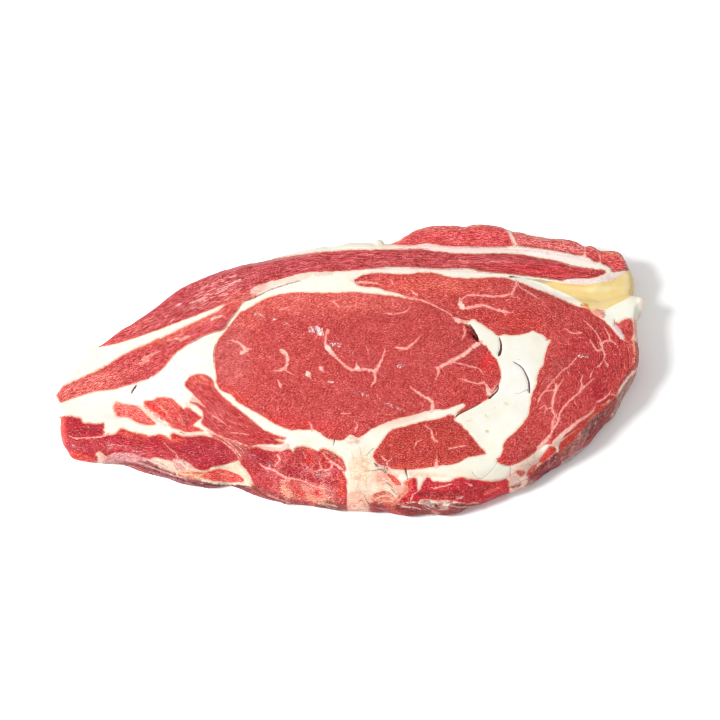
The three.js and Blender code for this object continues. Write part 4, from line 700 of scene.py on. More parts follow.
LEAN_PATCHES = {
    "eye top edge": ((228, 103, 94), (320, 300), (116, 20), 0, 0.85),
    "eye upper left": ((224, 102, 92), (250, 318), (30, 16), -45, 0.6),
    "eye left": ((203, 98, 94), (232, 355), (24, 42), 0, 0.6),
    "eye right": ((208, 72, 69), (470, 385), (40, 26), 0, 0.6),
    "eye bright": ((232, 56, 56), (489, 362), (13, 13), 20, 0.7),
    "eye low edge": ((222, 62, 62), (300, 424), (60, 8), 8, 0.5),
    "eye low left": ((222, 70, 64), (236, 396), (22, 6), 38, 0.6),
    # Painted shade in the gap where the eye parts from the fat.
    "eye gap": ((170, 36, 36), (470, 332), (7, 10), 0, 0.8),
    "crescent top": ((228, 94, 84), (430, 284), (74, 13), 3, 0.8),
    "crescent pale": ((224, 108, 90), (440, 286), (34, 6), 5, 0.5),
    "crescent grey": ((168, 80, 78), (563, 366), (15, 10), -40, 0.6),
    "crescent over fat": ((210, 64, 56), (515, 322), (34, 12), 5, 0.5),
    "crescent right": ((190, 58, 62), (590, 362), (36, 46), 0, 0.75),
    "crescent dark": ((178, 46, 56), (599, 392), (13, 11), 0, 0.9),
    "crescent low": ((196, 76, 74), (520, 452), (22, 16), -40, 0.6),
    "crescent outer": ((226, 74, 60), (574, 434), (16, 5), -42, 0.8),
    "crescent outer low": ((172, 44, 46), (563, 449), (8, 10), -60, 0.8),
    "strip left": ((214, 84, 83), (120, 335), (46, 10), -30, 0.6),
    "strip middle": ((193, 83, 87), (225, 285), (40, 12), -22, 0.7),
    "strip top": ((203, 85, 88), (330, 255), (90, 5), -4, 0.6),
    "strip right": ((206, 58, 62), (540, 270), (60, 7), 4, 0.8),
    "second strip left": ((229, 113, 104), (90, 385), (50, 12), -20, 0.8),
    "second strip top": ((227, 104, 87), (180, 330), (60, 5), -26, 0.7),
    "second strip end": ((216, 86, 82), (232, 308), (16, 8), -50, 0.6),
    "tail edge": ((238, 84, 70), (61, 436), (6, 28), 0, 0.85),
    "tail low edge": ((238, 84, 66), (82, 459), (22, 6), 18, 0.8),
    "tail top edge": ((222, 88, 76), (130, 434), (24, 5), 12, 0.7),
    "tail top edge right": ((230, 84, 68), (172, 439), (20, 5), 10, 0.6),
    "tail right": ((178, 54, 64), (205, 452), (40, 14), 4, 0.8),
    "long muscle dark": ((190, 70, 74), (215, 415), (18, 20), 0, 0.6),
    "long muscle low": ((196, 52, 58), (262, 438), (20, 7), 14, 0.6),
    "low muscle right": ((222, 52, 56), (495, 487), (16, 8), -8, 0.7),
    "long muscle top": ((238, 112, 96), (199, 378), (14, 7), 20, 0.8),
    # Painted light and shade of the second scrap's fold: lighter on top, darker at the right.
    "scrap top": ((238, 110, 96), (166, 402), (18, 5), 10, 0.7),
    "scrap right": ((188, 40, 54), (191, 416), (9, 8), 0, 0.85),
    "rib end top": ((210, 80, 78), (310, 456), (40, 8), 2, 0.6),
    "rib end low": ((238, 138, 126), (310, 493), (42, 12), 6, 0.75),
    "first cap top": ((230, 108, 98), (450, 228), (60, 4), -2, 0.7),
    "lozenge edge": ((214, 84, 72), (410, 466), (40, 4), -2, 0.7),
}

FAT_TONE = (253, 250, 235)
FAT_PATCHES = {
    "left block": ((253, 253, 246), (160, 385), (70, 26), -25, 0.9),
    "tail end": ((253, 248, 232), (85, 408), (34, 10), 0, 0.7),
    "tail end pink": ((253, 226, 222), (112, 417), (16, 5), 4, 0.7),
    "scrap gap": ((250, 222, 196), (150, 415), (10, 6), 40, 0.8),
    "long muscle gap": ((248, 214, 200), (196, 400), (8, 5), 30, 0.7),
    "band over eye": ((253, 251, 240), (300, 286), (90, 8), -6, 0.8),
    # Painted light: the back band and back band right are lighter than white fat, to lift the shade where
    # the band slopes toward the rim.
    "back band": ((266, 236, 234), (450, 249), (70, 5), 1, 0.9),
    "back band left": ((255, 244, 224), (385, 247), (30, 4), 0, 0.9),
    "back band right": ((268, 252, 246), (560, 257), (50, 6), 10, 0.9),
    "strip band": ((253, 234, 226), (420, 270), (60, 3), 1, 0.6),
    "right block": ((257, 257, 250), (515, 375), (26, 40), 0, 0.9),
    "right block low": ((256, 256, 245), (500, 425), (26, 24), 0, 0.8),
    # Painted light: under ligament, point, point right and point rim lift the shade beside the raised
    # ligament and on the point's right side; the point rim keeps a peach tone.
    "under ligament": ((268, 262, 250), (563, 294), (40, 5), 27, 0.9),
    "point": ((262, 262, 246), (622, 310), (18, 14), 0, 0.9),
    "point right": ((322, 306, 288), (642, 302), (6, 10), 20, 0.9),
    "point rim": ((262, 226, 206), (637, 328), (3, 16), 0, 0.9),
    "low fat": ((254, 244, 223), (450, 474), (60, 8), 2, 0.8),
    "low right": ((252, 222, 206), (525, 466), (26, 12), -38, 0.9),
    "low wedge": ((264, 230, 214), (514, 478), (8, 12), 0, 0.9),
    "column": ((251, 232, 199), (362, 470), (18, 26), 0, 0.95),
    "column low": ((250, 224, 197), (362, 486), (20, 10), 0, 0.7),
    "by column": ((240, 176, 152), (385, 479), (17, 13), 30, 0.9),
    "by foot": ((238, 176, 156), (372, 499), (8, 7), 0, 0.95),
    "by horn": ((243, 178, 157), (399, 490), (7, 10), 0, 0.95),
    "tail seam": ((249, 226, 208), (190, 434), (24, 3), 2, 0.8),
    "spot one": ((216, 196, 150), (487, 431.4), (2.2, 1.8), 0, 0.9),
    "spot two": ((236, 224, 190), (506, 404), (3.0, 2.0), 30, 0.8),
    "spot three": ((236, 226, 196), (469, 421), (5.0, 1.6), -10, 0.7),
    "under knot": ((230, 180, 160), (357, 442), (3.0, 2.4), 0, 0.8),
    "eye lozenge band": ((247, 208, 190), (402, 419), (34, 7), -17, 0.7),
    "under eye pink": ((250, 214, 200), (356, 438), (10, 4), 0, 0.7),
    "band foot": ((250, 222, 196), (420, 474), (40, 3), 4, 0.6),
}

MEMBRANE_TONE = (214, 112, 100)
MEMBRANE_PATCHES = {
    "right": ((160, 84, 84), (600, 425), (60, 60), 0, 0.9),
    "low right": ((160, 72, 70), (520, 492), (50, 18), -20, 0.7),
    "low middle": ((164, 80, 78), (430, 508), (70, 12), 0, 0.8),
    "left": ((180, 104, 108), (150, 466), (70, 14), 8, 0.9),
    "tail": ((206, 84, 84), (78, 458), (24, 10), 8, 0.9),
}

LIGAMENT_TONE = (255, 225, 154)
LIGAMENT_PATCHES = {
    "shine": ((254, 244, 190), (600, 289), (22, 4), -4, 0.7),
    "foot": ((252, 226, 176), (600, 304), (16, 6), -14, 0.6),
    "right": ((253, 232, 178), (626, 284), (7, 14), 10, 0.7),
    "left shade": ((206, 186, 158), (538, 280.4), (18, 3), 6, 0.9),
    "top shade": ((232, 196, 140), (575, 285), (22, 2), 3, 0.5),
    "orange": ((232, 134, 50), (585.6, 305.6), (4, 2.4), 20, 0.95),
}

# Soft patches of strength: the middle and the radii in frame px, the turn in degrees and the strength.
# Where the surface is wettest: more coat, with a painted grey sheen and painted glints over the cut:
WET_SHEEN_SPOTS = {
    "by fork": ((316.5, 330.6), (9, 4), 8, 0.8),
    "below fork": ((336, 344.6), (9, 3.5), 10, 0.9),
    "under fork": ((354, 353), (12, 3), 28, 0.45),
    "upper left": ((259, 315.4), (9, 3), 20, 0.8),
    "middle left": ((273.6, 318.6), (4, 2.6), 0, 0.9),
    "left of fork": ((286, 324), (8, 2.6), 24, 0.6),
    "middle": ((401, 366.4), (6, 3), 0, 0.9),
    "third fleck": ((331, 382), (6, 3), 0, 0.7),
    "trail": ((362, 394), (16, 2.6), 18, 0.7),
    "trail end": ((394, 407), (18, 2.6), 22, 0.7),
    "right": ((583, 356.4), (8, 3), 10, 0.9),
    "right low": ((548, 379), (5, 3), 0, 0.6),
    "low": ((462, 498), (6, 3), 0, 0.7),
}

# Where the outer wall has no skin over it:
SKINLESS = {
    "tail fat": ((58, 408), (10, 22), 0, 1.0),
    "ligament end": ((634, 288), (12, 26), 0, 1.0),
    "point": ((638, 318), (8, 30), 0, 1.0),
    "column foot": ((360, 508), (14, 10), 0, 1.0),
}

# Where thin pale lines net the lean:
NETS = {
    "rib end": ((304, 476), (56, 30), 6, 0.42),
    "rib end right": ((326, 474), (24, 26), 0, 0.55),
    "low muscle": ((460, 490), (50, 14), 0, 0.12),
    "scraps": ((165, 414), (50, 18), 20, 0.3),
    "tail": ((90, 445), (40, 14), 8, 0.10),
}

# Where the fat is loose tissue, pink and webbed:
LOOSE = {
    "column": ((362, 474), (16, 28), 0, 0.7),
    "by column": ((386, 482), (18, 17), 0, 1.0),
    "under eye": ((352, 441), (12, 5), 0, 0.6),
    "between scraps": ((156, 415), (20, 6), 38, 1.0),
    "by long muscle": ((193, 406), (12, 9), 30, 0.8),
    "under scraps": ((190, 428), (22, 6), 8, 0.6),
    "band foot": ((420, 475), (34, 3), 4, 0.6),
    "low wedge": ((516, 478), (9, 12), 0, 0.8),
    "low right": ((528, 464), (18, 8), -38, 0.6),
    "strip lumps": ((258, 289), (11, 6), -26, 0.8),
    "pink by point": ((598, 314), (9, 6), 0, 0.8),
}

# Where the lean shows painted sheen: bright dashes of light along its fibres:
FIBRE_SHEEN_SPOTS = {
    "strip left": ((216, 291), (38, 15), -27, 0.85),
    "strip far left": ((150, 322), (30, 9), -32, 0.45),
    "second strip": ((190, 330), (40, 8), -28, 0.3),
    "second strip left": ((100, 380), (30, 6), -18, 0.25),
    "long muscle": ((222, 420), (20, 12), 40, 0.4),
    "tail": ((92, 444), (34, 10), 8, 0.06),
    "tail middle": ((140, 448), (30, 8), 8, 0.3),
}


# ------------------------------------------------------------------ curves

CURVE_STEPS = 6
PLACES_AT_ONCE = 4000
REACH_PX = 14.0
TIP_PX = 5.0
TIP_SHARE = 0.35


def curve(points, closed):
    """A smooth curve through the points."""
    knots = np.array(points, float)
    count = len(knots)
    steps = np.arange(CURVE_STEPS)[:, None] / CURVE_STEPS
    pieces = []
    for index in range(count if closed else count - 1):
        if closed:
            a, b, c, d = (knots[(index + k) % count] for k in (-1, 0, 1, 2))
        else:
            a, b, c, d = (knots[min(max(index + k, 0), count - 1)] for k in (-1, 0, 1, 2))
        bend = (2 * a - 5 * b + 4 * c - d) * steps ** 2 + (-a + 3 * b - 3 * c + d) * steps ** 3
        pieces.append(0.5 * (2 * b + (c - a) * steps + bend))
    if not closed:
        pieces.append(knots[-1:])
    return np.concatenate(pieces)


def nearest_on(places, line):
    """For each place: the distance to the line, the signed side, and how far along the line it is."""
    starts = line[:-1]
    runs = line[1:] - starts
    lengths = np.maximum(np.hypot(runs[:, 0], runs[:, 1]), 1e-9)
    walked = np.concatenate([[0.0], np.cumsum(lengths)[:-1]])
    distance = np.empty(len(places))
    side = np.empty(len(places))
    along = np.empty(len(places))
    for first in range(0, len(places), PLACES_AT_ONCE):
        chunk = slice(first, first + PLACES_AT_ONCE)
        gap = places[chunk, None, :] - starts[None]
        share = np.clip((gap * runs).sum(2) / lengths ** 2, 0.0, 1.0)
        rest = gap - share[..., None] * runs
        away = np.hypot(rest[..., 0], rest[..., 1])
        best = away.argmin(1)
        rows = np.arange(len(best))
        distance[chunk] = away[rows, best]
        turn = runs[best, 0] * gap[rows, best, 1] - runs[best, 1] * gap[rows, best, 0]
        side[chunk] = np.sign(turn) * distance[chunk]
        along[chunk] = walked[best] + share[rows, best] * lengths[best]
    return distance, side, along


def near_box(places, line, margin):
    """The rows of the places inside the line's box with a margin."""
    low = line.min(0) - margin
    high = line.max(0) + margin
    return np.where(((places >= low) & (places <= high)).all(1))[0]


def depth_inside(places, outline):
    """Distance in px to a closed outline, positive inside, no less than minus the reach."""
    loop = curve(outline, True)
    loop = np.concatenate([loop, loop[:1]])
    depth = np.full(len(places), -REACH_PX)
    rows = near_box(places, loop, REACH_PX)
    close = places[rows]
    distance = nearest_on(close, loop)[0]
    inside = np.zeros(len(close), bool)
    for (ax, ay), (bx, by) in zip(loop[:-1], loop[1:]):
        if ay == by:
            continue
        crosses = (close[:, 1] < ay) != (close[:, 1] < by)
        inside ^= crosses & (close[:, 0] < ax + (close[:, 1] - ay) * (bx - ax) / (by - ay))
    depth[rows] = np.where(inside, distance, -np.minimum(distance, REACH_PX))
    return depth


def tip_share(along):
    """How much of its width a line has this far from its thin tip."""
    return TIP_SHARE + (1 - TIP_SHARE) * np.minimum(along / TIP_PX, 1.0)


def line_field(places, lines, pointed):
    """The side, the distance, the half width in px and the tone of the nearest of some tapering lines."""
    side = np.full(len(places), REACH_PX)
    near = np.full(len(places), REACH_PX)
    half = np.full(len(places), 0.5)
    tones = np.ones((len(places), 3))
    for start_width, end_width, *tone, points in lines.values():
        line = curve(points, False)
        rows = near_box(places, line, REACH_PX)
        distance, turn, along = nearest_on(places[rows], line)
        length = np.hypot(*np.diff(line, axis=0).T).sum()
        width = 0.5 * (start_width + (end_width - start_width) * along / length)
        if pointed and end_width <= start_width:
            width *= tip_share(length - along)
        if pointed and start_width <= end_width:
            width *= tip_share(along)
        better = distance - width < near[rows] - half[rows]
        chosen = rows[better]
        side[chosen] = turn[better]
        near[chosen] = distance[better]
        half[chosen] = width[better]
        if tone:
            tones[chosen] = linear(tone[0])
    return side, near, half, tones


# ------------------------------------------------------------------- noise

AXIS_PRIMES = np.array([73856093, 19349663, 83492791])
SEED_PRIME = 1013904223
MIX_PRIMES = ((13, 1274126177), (16, 668265263))
KEY_MASK = 0x7FFFFFFF
VALUE_MASK = 0xFFFF


def ease(value, low=0.0, high=1.0):
    """0 below low, 1 above high, smooth between."""
    share = np.clip((value - low) / (high - low), 0.0, 1.0)
    return share * share * (3 - 2 * share)


def lattice_noise(places, cell, seed):
    """Smooth noise from -1 to 1 with the given cell size."""
    spot = places / cell
    corner = np.floor(spot).astype(np.int64)
    share = ease(spot - corner)
    total = np.zeros(len(places))
    for step in itertools.product((0, 1), repeat=3):
        key = np.bitwise_xor.reduce((corner + step) * AXIS_PRIMES, axis=1)
        key = (key + seed * SEED_PRIME) & KEY_MASK
        for bits, prime in MIX_PRIMES:
            key = ((key ^ (key >> bits)) * prime) & KEY_MASK
        value = (key & VALUE_MASK) / (VALUE_MASK / 2) - 1
        total += np.where(step, share, 1 - share).prod(1) * value
    return total


# ----------------------------------------------------------------- the mesh

VOXEL = 0.8 * MM
WELD_GAP = 0.002 * MM
SMOOTH_ROUNDS = 3
UNDERSIDE_HEIGHT = 0.25 * MM
UNDERSIDE_KEEP = 0.18

# Soft shifts of the rim: the middle in frame px on the cut face, the radii in mm, the turn in
# degrees and the shift in mm.
CUT_HEIGHT = 0.020
RIM_SHIFTS = {
    "back left": ((158, 305), (27, 10), 31, (0.8, -2.5)),
    "back middle": ((292, 257), (26, 8), 6, (0.0, -2.1)),
    "back of flap": ((356, 246), (13, 6), 0, (0.0, 1.5)),
    "cap left": ((403, 240), (7, 6), 0, (0.0, 1.2)),
    "cap top": ((468, 226), (16, 6), 0, (0.0, 0.7)),
    "cap gap": ((538, 235), (12, 6), -8, (0.0, -1.4)),
    "cap right": ((585, 246), (7, 5), -15, (0.0, 1.1)),
    "cap end": ((612, 252), (9, 6), -20, (0.3, 0.8)),
    "front left": ((180, 480), (13, 6), 8, (0.0, 1.2)),
    "point corner": ((640, 299), (4, 4), 0, (1.6, 0.9)),
    "under point corner": ((644, 306), (3, 4), 0, (-1.0, 0.0)),
    "strip end": ((59, 388), (7, 7), 0, (-2.3, -1.4)),
    "tail corner": ((67, 450), (7, 7), 0, (-3.0, -2.0)),
    "tail side": ((59, 432), (4, 7), 0, (0.9, 0.0)),
    "tail foot": ((118, 464), (24, 6), 4, (0.0, 2.0)),
    "flap": ((379.5, 242.6), (2.4, 3.0), 0, (0.0, 2.4)),
    "foot right": ((488, 486), (17, 7), 12, (0.0, 1.3)),
    "front middle": ((425, 500), (20, 7), 0, (0.0, -1.0)),
    "front right": ((598, 428), (9, 6), 50, (1.2, -0.8)),
}


def welded_copy(node, name):
    """A merged copy of a CAD node's mesh, as a new object."""
    mesh = bpy.data.meshes.new(name)
    shell = bmesh.new()
    shell.from_mesh(node.data)
    bmesh.ops.remove_doubles(shell, verts=shell.verts, dist=WELD_GAP)
    shell.to_mesh(mesh)
    shell.free()
    piece = bpy.data.objects.new(name, mesh)
    bpy.context.scene.collection.objects.link(piece)
    return piece


def apply_modifiers(piece):
    """Turns the evaluated piece into its plain mesh."""
    view = bpy.context.evaluated_depsgraph_get()
    mesh = bpy.data.meshes.new_from_object(piece.evaluated_get(view))
    piece.modifiers.clear()
    old = piece.data
    piece.data = mesh
    bpy.data.meshes.remove(old)


def read_rows(items, name, width, kind):
    """One property of all of a mesh's vertices or edges, as rows of an array."""
    flat = np.empty(len(items) * width, kind)
    items.foreach_get(name, flat)
    return flat.reshape(-1, width)


def get_points(mesh):
    return read_rows(mesh.vertices, "co", 3, np.float32).astype(float)


def get_normals(mesh):
    return read_rows(mesh.vertex_normals, "vector", 3, np.float32).astype(float)


def get_edges(mesh):
    return read_rows(mesh.edges, "vertices", 2, np.int32)


def set_points(mesh, points):
    mesh.vertices.foreach_set("co", points.astype(np.float32).ravel())
    mesh.update()


def relaxed(values, edges, rounds):
    """Averages values over neighbours."""
    count = np.bincount(edges.ravel(), minlength=len(values)).astype(float)[:, None]
    for _ in range(rounds):
        total = np.zeros_like(values)
        for axis in range(values.shape[1]):
            total[:, axis] = np.bincount(edges[:, 0], values[edges[:, 1], axis], len(values))
            total[:, axis] += np.bincount(edges[:, 1], values[edges[:, 0], axis], len(values))
        values = 0.5 * values + 0.5 * total / np.maximum(count, 1)
    return values


def spot_on_cut(frame_px):
    """The x and y in metres of the point of the cut face that is seen at this frame px."""
    across = (frame_px[0] - FRAME_PX / 2) / FOCAL_PX
    up = (FRAME_PX / 2 - frame_px[1]) / FOCAL_PX
    ray = -TO_CAMERA + CAMERA_RIGHT * across + CAMERA_UP * up
    reach = (CUT_HEIGHT - CAMERA_PLACE[2]) / ray[2]
    return (CAMERA_PLACE + ray * reach)[:2]


def shift_rim(points):
    """Moves stretches of the rim sideways."""
    for middle, radii, turn, move in RIM_SHIFTS.values():
        spot = spot_on_cut(middle)
        share = patch_share(points[:, :2] / MM, spot / MM, radii, turn)
        points[:, :2] += share[:, None] * np.array(move) * MM
    return points


def fine_mesh(node, name):
    """The slice at a fine, even mesh with soft edges and a flat foot."""
    piece = welded_copy(node, name)
    grid = piece.modifiers.new("grid", "REMESH")
    grid.mode = "VOXEL"
    grid.voxel_size = VOXEL
    apply_modifiers(piece)
    mesh = piece.data
    points = get_points(mesh)
    underside = points[:, 2] < UNDERSIDE_HEIGHT
    smooth = relaxed(points, get_edges(mesh), SMOOTH_ROUNDS)
    smooth[underside, 2] = 0.0
    set_points(mesh, shift_rim(smooth))
    group = piece.vertex_groups.new(name="underside")
    group.add(np.where(underside)[0].tolist(), 1.0, "REPLACE")
    thin = piece.modifiers.new("thin", "DECIMATE")
    thin.vertex_group = group.name
    thin.ratio = 1 - (1 - UNDERSIDE_KEEP) * underside.mean()
    apply_modifiers(piece)
    piece.vertex_groups.clear()
    return piece


# ------------------------------------------------------- where the pattern lies

# How much of the way a surface faces the camera: below the first number it counts as facing away.
FACING = (0.05, 0.35)
ABOVE_SLICE = 0.1
# A soft patch is full up to the first share of its radii and gone at the second.
PATCH_EDGE = (0.35, 1.15)
# Even light on a surface of this strength shows its tone; the veil is the gloss that lies over it.
EVEN_LIGHT = 1.55
GLOSS_VEIL = 0.024
DARKEST = 0.003
FULL_STREAK_STRETCH = 4.5
BARE_EDGE_PX = (-1.5, 0.5)
SHEET_BLEND_ROUNDS = 3
# A surface is wall where its normal points up or down by less than these shares.
WALL_UPRIGHT = (0.30, 0.70)


def pattern_places(mesh):
    """The frame px of each point; walls and underside that face away take the cut face above them."""
    points = get_points(mesh)
    facing = ease(get_normals(mesh) @ TO_CAMERA, *FACING)
    lifted = points.copy()
    faces = [tuple(face.vertices) for face in mesh.polygons]
    tree = BVHTree.FromPolygons([tuple(point) for point in points], faces)
    down = Vector((0, 0, -1))
    for row in np.where(facing < 1)[0]:
        x, y, _ = points[row]
        hit = tree.ray_cast(Vector((x, y, ABOVE_SLICE)), down)[0]
        if hit is not None:
            lifted[row, 2] = hit.z
    return seen(points + (lifted - points) * (1 - facing)[:, None])


def patch_share(places, middle, radii, turn):
    """1 in the middle of a soft ellipse, 0 outside."""
    angle = math.radians(turn)
    offset = places - np.array(middle, float)
    along = offset[:, 0] * math.cos(angle) + offset[:, 1] * math.sin(angle)
    across = offset[:, 1] * math.cos(angle) - offset[:, 0] * math.sin(angle)
    away = np.hypot(along / radii[0], across / radii[1])
    return 1 - ease(away, *PATCH_EDGE)


def linear(tone):
    """The surface colour that shows as this sRGB tone in the studio's light, under its even gloss.

    A tone may pass 255, because that light can show more than white.
    """
    share = np.array(tone, float) / 255
    value = np.where(share <= 0.04045, share / 12.92, ((share + 0.055) / 1.055) ** 2.4)
    return np.maximum(value - GLOSS_VEIL, DARKEST) / EVEN_LIGHT


def painted(places, base, patches):
    """A base colour with soft patches laid over it."""
    colours = np.array(base, float) * np.ones((len(places), 3))
    for tone, middle, radii, turn, strength in patches.values():
        share = (patch_share(places, middle, radii, turn) * strength)[:, None]
        colours = colours * (1 - share) + linear(tone) * share
    return colours


def strongest(places, patches):
    """The strongest of some soft patches at each place."""
    share = np.zeros(len(places))
    for middle, radii, turn, strength in patches.values():
        share = np.maximum(share, patch_share(places, middle, radii, turn) * strength)
    return share


def muscle_fields(places):
    """The lean: its depth, tone, grain in mm, where it has no skin, its streaks and how soft its edge is."""
    depth = np.full(len(places), -REACH_PX)
    tone = np.tile(linear(MUSCLES["eye"].tone), (len(places), 1))
    grain = np.zeros((len(places), 3))
    bare = np.zeros(len(places))
    streak = np.zeros(len(places))
    soft = np.full(len(places), CRISP_EDGE)
    for muscle in MUSCLES.values():
        own = depth_inside(places, muscle.outline)
        better = own > depth
        depth[better] = own[better]
        _, side, along = nearest_on(places[better], curve(muscle.flow, False))
        grain[better, 0] = along / muscle.stretch
        grain[better, 1] = side
        tone[better] = linear(muscle.tone)
        streak[better] = min(muscle.stretch / FULL_STREAK_STRETCH, 1.0) ** 2
        soft[better] = muscle.soft
        if muscle.bare:
            bare = np.maximum(bare, ease(own, *BARE_EDGE_PX))
    return depth, tone, grain / PX_PER_MM, bare, streak, soft


def sheet_fields(places):
    """The depth inside the nearest sheet and its tone."""
    depth = np.full(len(places), -REACH_PX)
    tones = np.ones((len(places), 3))
    for tone, outline in SHEETS.values():
        own = depth_inside(places, outline)
        better = own > depth
        depth[better] = own[better]
        tones[better] = linear(tone)
    return depth, tones


def surface_fields(mesh):
    """Everything that relief and colour need to know at each point, in mm."""
    places = pattern_places(mesh)
    depth, tone, grain, bare, streak, soft = muscle_fields(places)
    grain[:, 2] = get_points(mesh)[:, 2] / MM
    sheet_depth, sheet_tone = sheet_fields(places)
    fields = {
        "lean_depth": depth / PX_PER_MM,
        "grain": grain,
        "streak": streak,
        "soft": soft,
        "lean_tone": painted(places, tone, LEAN_PATCHES),
        "fat_tone": painted(places, linear(FAT_TONE), FAT_PATCHES),
        "membrane_tone": painted(places, linear(MEMBRANE_TONE), MEMBRANE_PATCHES),
        "ligament_tone": painted(places, linear(LIGAMENT_TONE), LIGAMENT_PATCHES),
        "ligament_depth": depth_inside(places, LIGAMENT) / PX_PER_MM,
        "sheet_depth": sheet_depth / PX_PER_MM,
        "sheet_tone": relaxed(sheet_tone, get_edges(mesh), SHEET_BLEND_ROUNDS),
        "wall": 1 - ease(np.abs(get_normals(mesh)[:, 2]), *WALL_UPRIGHT),
        "bare": np.maximum(bare, strongest(places, SKINLESS)),
        "net": strongest(places, NETS),
        "loose": strongest(places, LOOSE),
        "sinew": strongest(places, FIBRE_SHEEN_SPOTS),
        "wet_sheen": strongest(places, WET_SHEEN_SPOTS),
    }
    for name, lines in (("vein", VEINS), ("crack", CRACKS), ("strand", STRANDS)):
        side, near, half, tones = line_field(places, lines, pointed=lines is VEINS)
        fields[name + "_side"] = side / PX_PER_MM
        fields[name + "_near"] = near / PX_PER_MM
        fields[name + "_half"] = half / PX_PER_MM
    fields["strand_tone"] = tones
    return fields


# ------------------------------------------------------------------ relief
# Heights, widths and cells are in mm. A pair of numbers is where an effect starts and where it is full.

FAT_STEP = 0.16
FAT_EDGE = (-0.9, 0.5)
BORDER_GROOVE = 0.16
BORDER_PLACE = 0.15
BORDER_WIDTH = 0.45
CRACK_DEPTH = 1.2
CRACK_FULL_HALF = 0.7
CRACK_WIDTH = 0.6
CRACK_DEEPENING = 1.4
SHEET_STEP = 0.18
SHEET_EDGE = (-0.4, 0.3)
GRAIN_RELIEF = 0.10
GRAIN_CELL = 1.7
GRAIN_ON_FAT = 0.35
LEAN_EDGE = (-0.2, 0.6)
SWELL_RELIEF = 0.22
SWELL_CELL = 9.0
WALL_RELIEF = 0.32
WALL_CELL = 4.5
WALL_SQUASH = (1.0, 1.0, 1.8)
FOLD_RELIEF = 0.26
FOLD_CELL = 3.0
FOLD_SQUASH = (0.6, 0.6, 1.6)
FREE_HEIGHT = (0.15, 2.0)


def relief_heights(points, fields):
    """How far in mm each point moves out along its normal."""
    millimetres = points / MM
    lean = fields["lean_depth"]
    height = FAT_STEP * (1 - ease(lean, *FAT_EDGE))
    height -= BORDER_GROOVE * np.exp(-((lean - BORDER_PLACE) / BORDER_WIDTH) ** 2)
    opening = np.minimum(fields["crack_half"] / CRACK_FULL_HALF, 1.0) ** CRACK_DEEPENING
    height -= CRACK_DEPTH * opening * np.exp(-(fields["crack_near"] / CRACK_WIDTH) ** 2)
    height += SHEET_STEP * ease(fields["sheet_depth"], *SHEET_EDGE)
    grain = np.column_stack([fields["grain"][:, :2], millimetres[:, 2]])
    fibres = lattice_noise(grain, GRAIN_CELL, SEED) + 0.6 * lattice_noise(grain, 2 * GRAIN_CELL, SEED + 1)
    on_lean = ease(lean, *LEAN_EDGE)
    height += GRAIN_RELIEF * fibres * (GRAIN_ON_FAT + (1 - GRAIN_ON_FAT) * on_lean)
    height += SWELL_RELIEF * lattice_noise(millimetres, SWELL_CELL, SEED + 2)
    folds = lattice_noise(millimetres * WALL_SQUASH, WALL_CELL, SEED + 3)
    creases = 1 - np.abs(lattice_noise(millimetres * FOLD_SQUASH, FOLD_CELL, SEED + 4)) * 2
    height += fields["wall"] * (WALL_RELIEF * folds + FOLD_RELIEF * creases)
    return height


def carve(piece, fields):
    """Moves the surface out and in by the relief, leaving the foot flat."""
    mesh = piece.data
    points = get_points(mesh)
    free = ease(points[:, 2] / MM, *FREE_HEIGHT)
    points += get_normals(mesh) * (relief_heights(points, fields) * free * MM)[:, None]
    points[:, 2] = np.maximum(points[:, 2], 0.0)
    set_points(mesh, points)


def store(mesh, fields):
    """Writes the fields as attributes: numbers, the grain as a vector and the tones as colours."""
    for name, values in fields.items():
        if name.endswith("_tone"):
            attribute = mesh.attributes.new(name, "FLOAT_COLOR", "POINT")
            opaque = np.concatenate([values, np.ones((len(values), 1))], axis=1)
            attribute.data.foreach_set("color", opaque.astype(np.float32).ravel())
        elif name == "grain":
            attribute = mesh.attributes.new(name, "FLOAT_VECTOR", "POINT")
            attribute.data.foreach_set("vector", values.astype(np.float32).ravel())
        else:
            attribute = mesh.attributes.new(name, "FLOAT", "POINT")
            attribute.data.foreach_set("value", values.astype(np.float32))


# --------------------------------------------------------------- node helpers

FLOAT = "NodeSocketFloat"
COLOUR = "NodeSocketColor"
VECTOR = "NodeSocketVector"


def plug(tree, socket, source):
    """Links a socket to another, or sets its value."""
    if isinstance(source, bpy.types.NodeSocket):
        tree.links.new(source, socket)
    else:
        socket.default_value = source


def maths(tree, operation, *sources, clamp=False):
    node = tree.nodes.new("ShaderNodeMath")
    node.operation = operation
    node.use_clamp = clamp
    for socket, source in zip(node.inputs, sources):
        plug(tree, socket, source)
    return node.outputs[0]


def plus(tree, first, second):
    return maths(tree, "ADD", first, second)


def times(tree, first, second):
    return maths(tree, "MULTIPLY", first, second)


def times_plus(tree, first, second, third):
    return maths(tree, "MULTIPLY_ADD", first, second, third)


def rest_of(tree, share):
    """What a share leaves of 1."""
    return maths(tree, "SUBTRACT", 1.0, share)


def vector_maths(tree, operation, first, second):
    node = tree.nodes.new("ShaderNodeVectorMath")
    node.operation = operation
    plug(tree, node.inputs[0], first)
    plug(tree, node.inputs["Scale" if operation == "SCALE" else 1], second)
    return node.outputs["Value" if operation == "DOT_PRODUCT" else "Vector"]


def remap(tree, value, low, high, start=0.0, full=1.0):
    """A smooth step from one value to another while the input goes from low to high."""
    node = tree.nodes.new("ShaderNodeMapRange")
    node.interpolation_type = "SMOOTHSTEP"
    for index, source in enumerate((value, low, high, start, full)):
        plug(tree, node.inputs[index], source)
    return node.outputs[0]


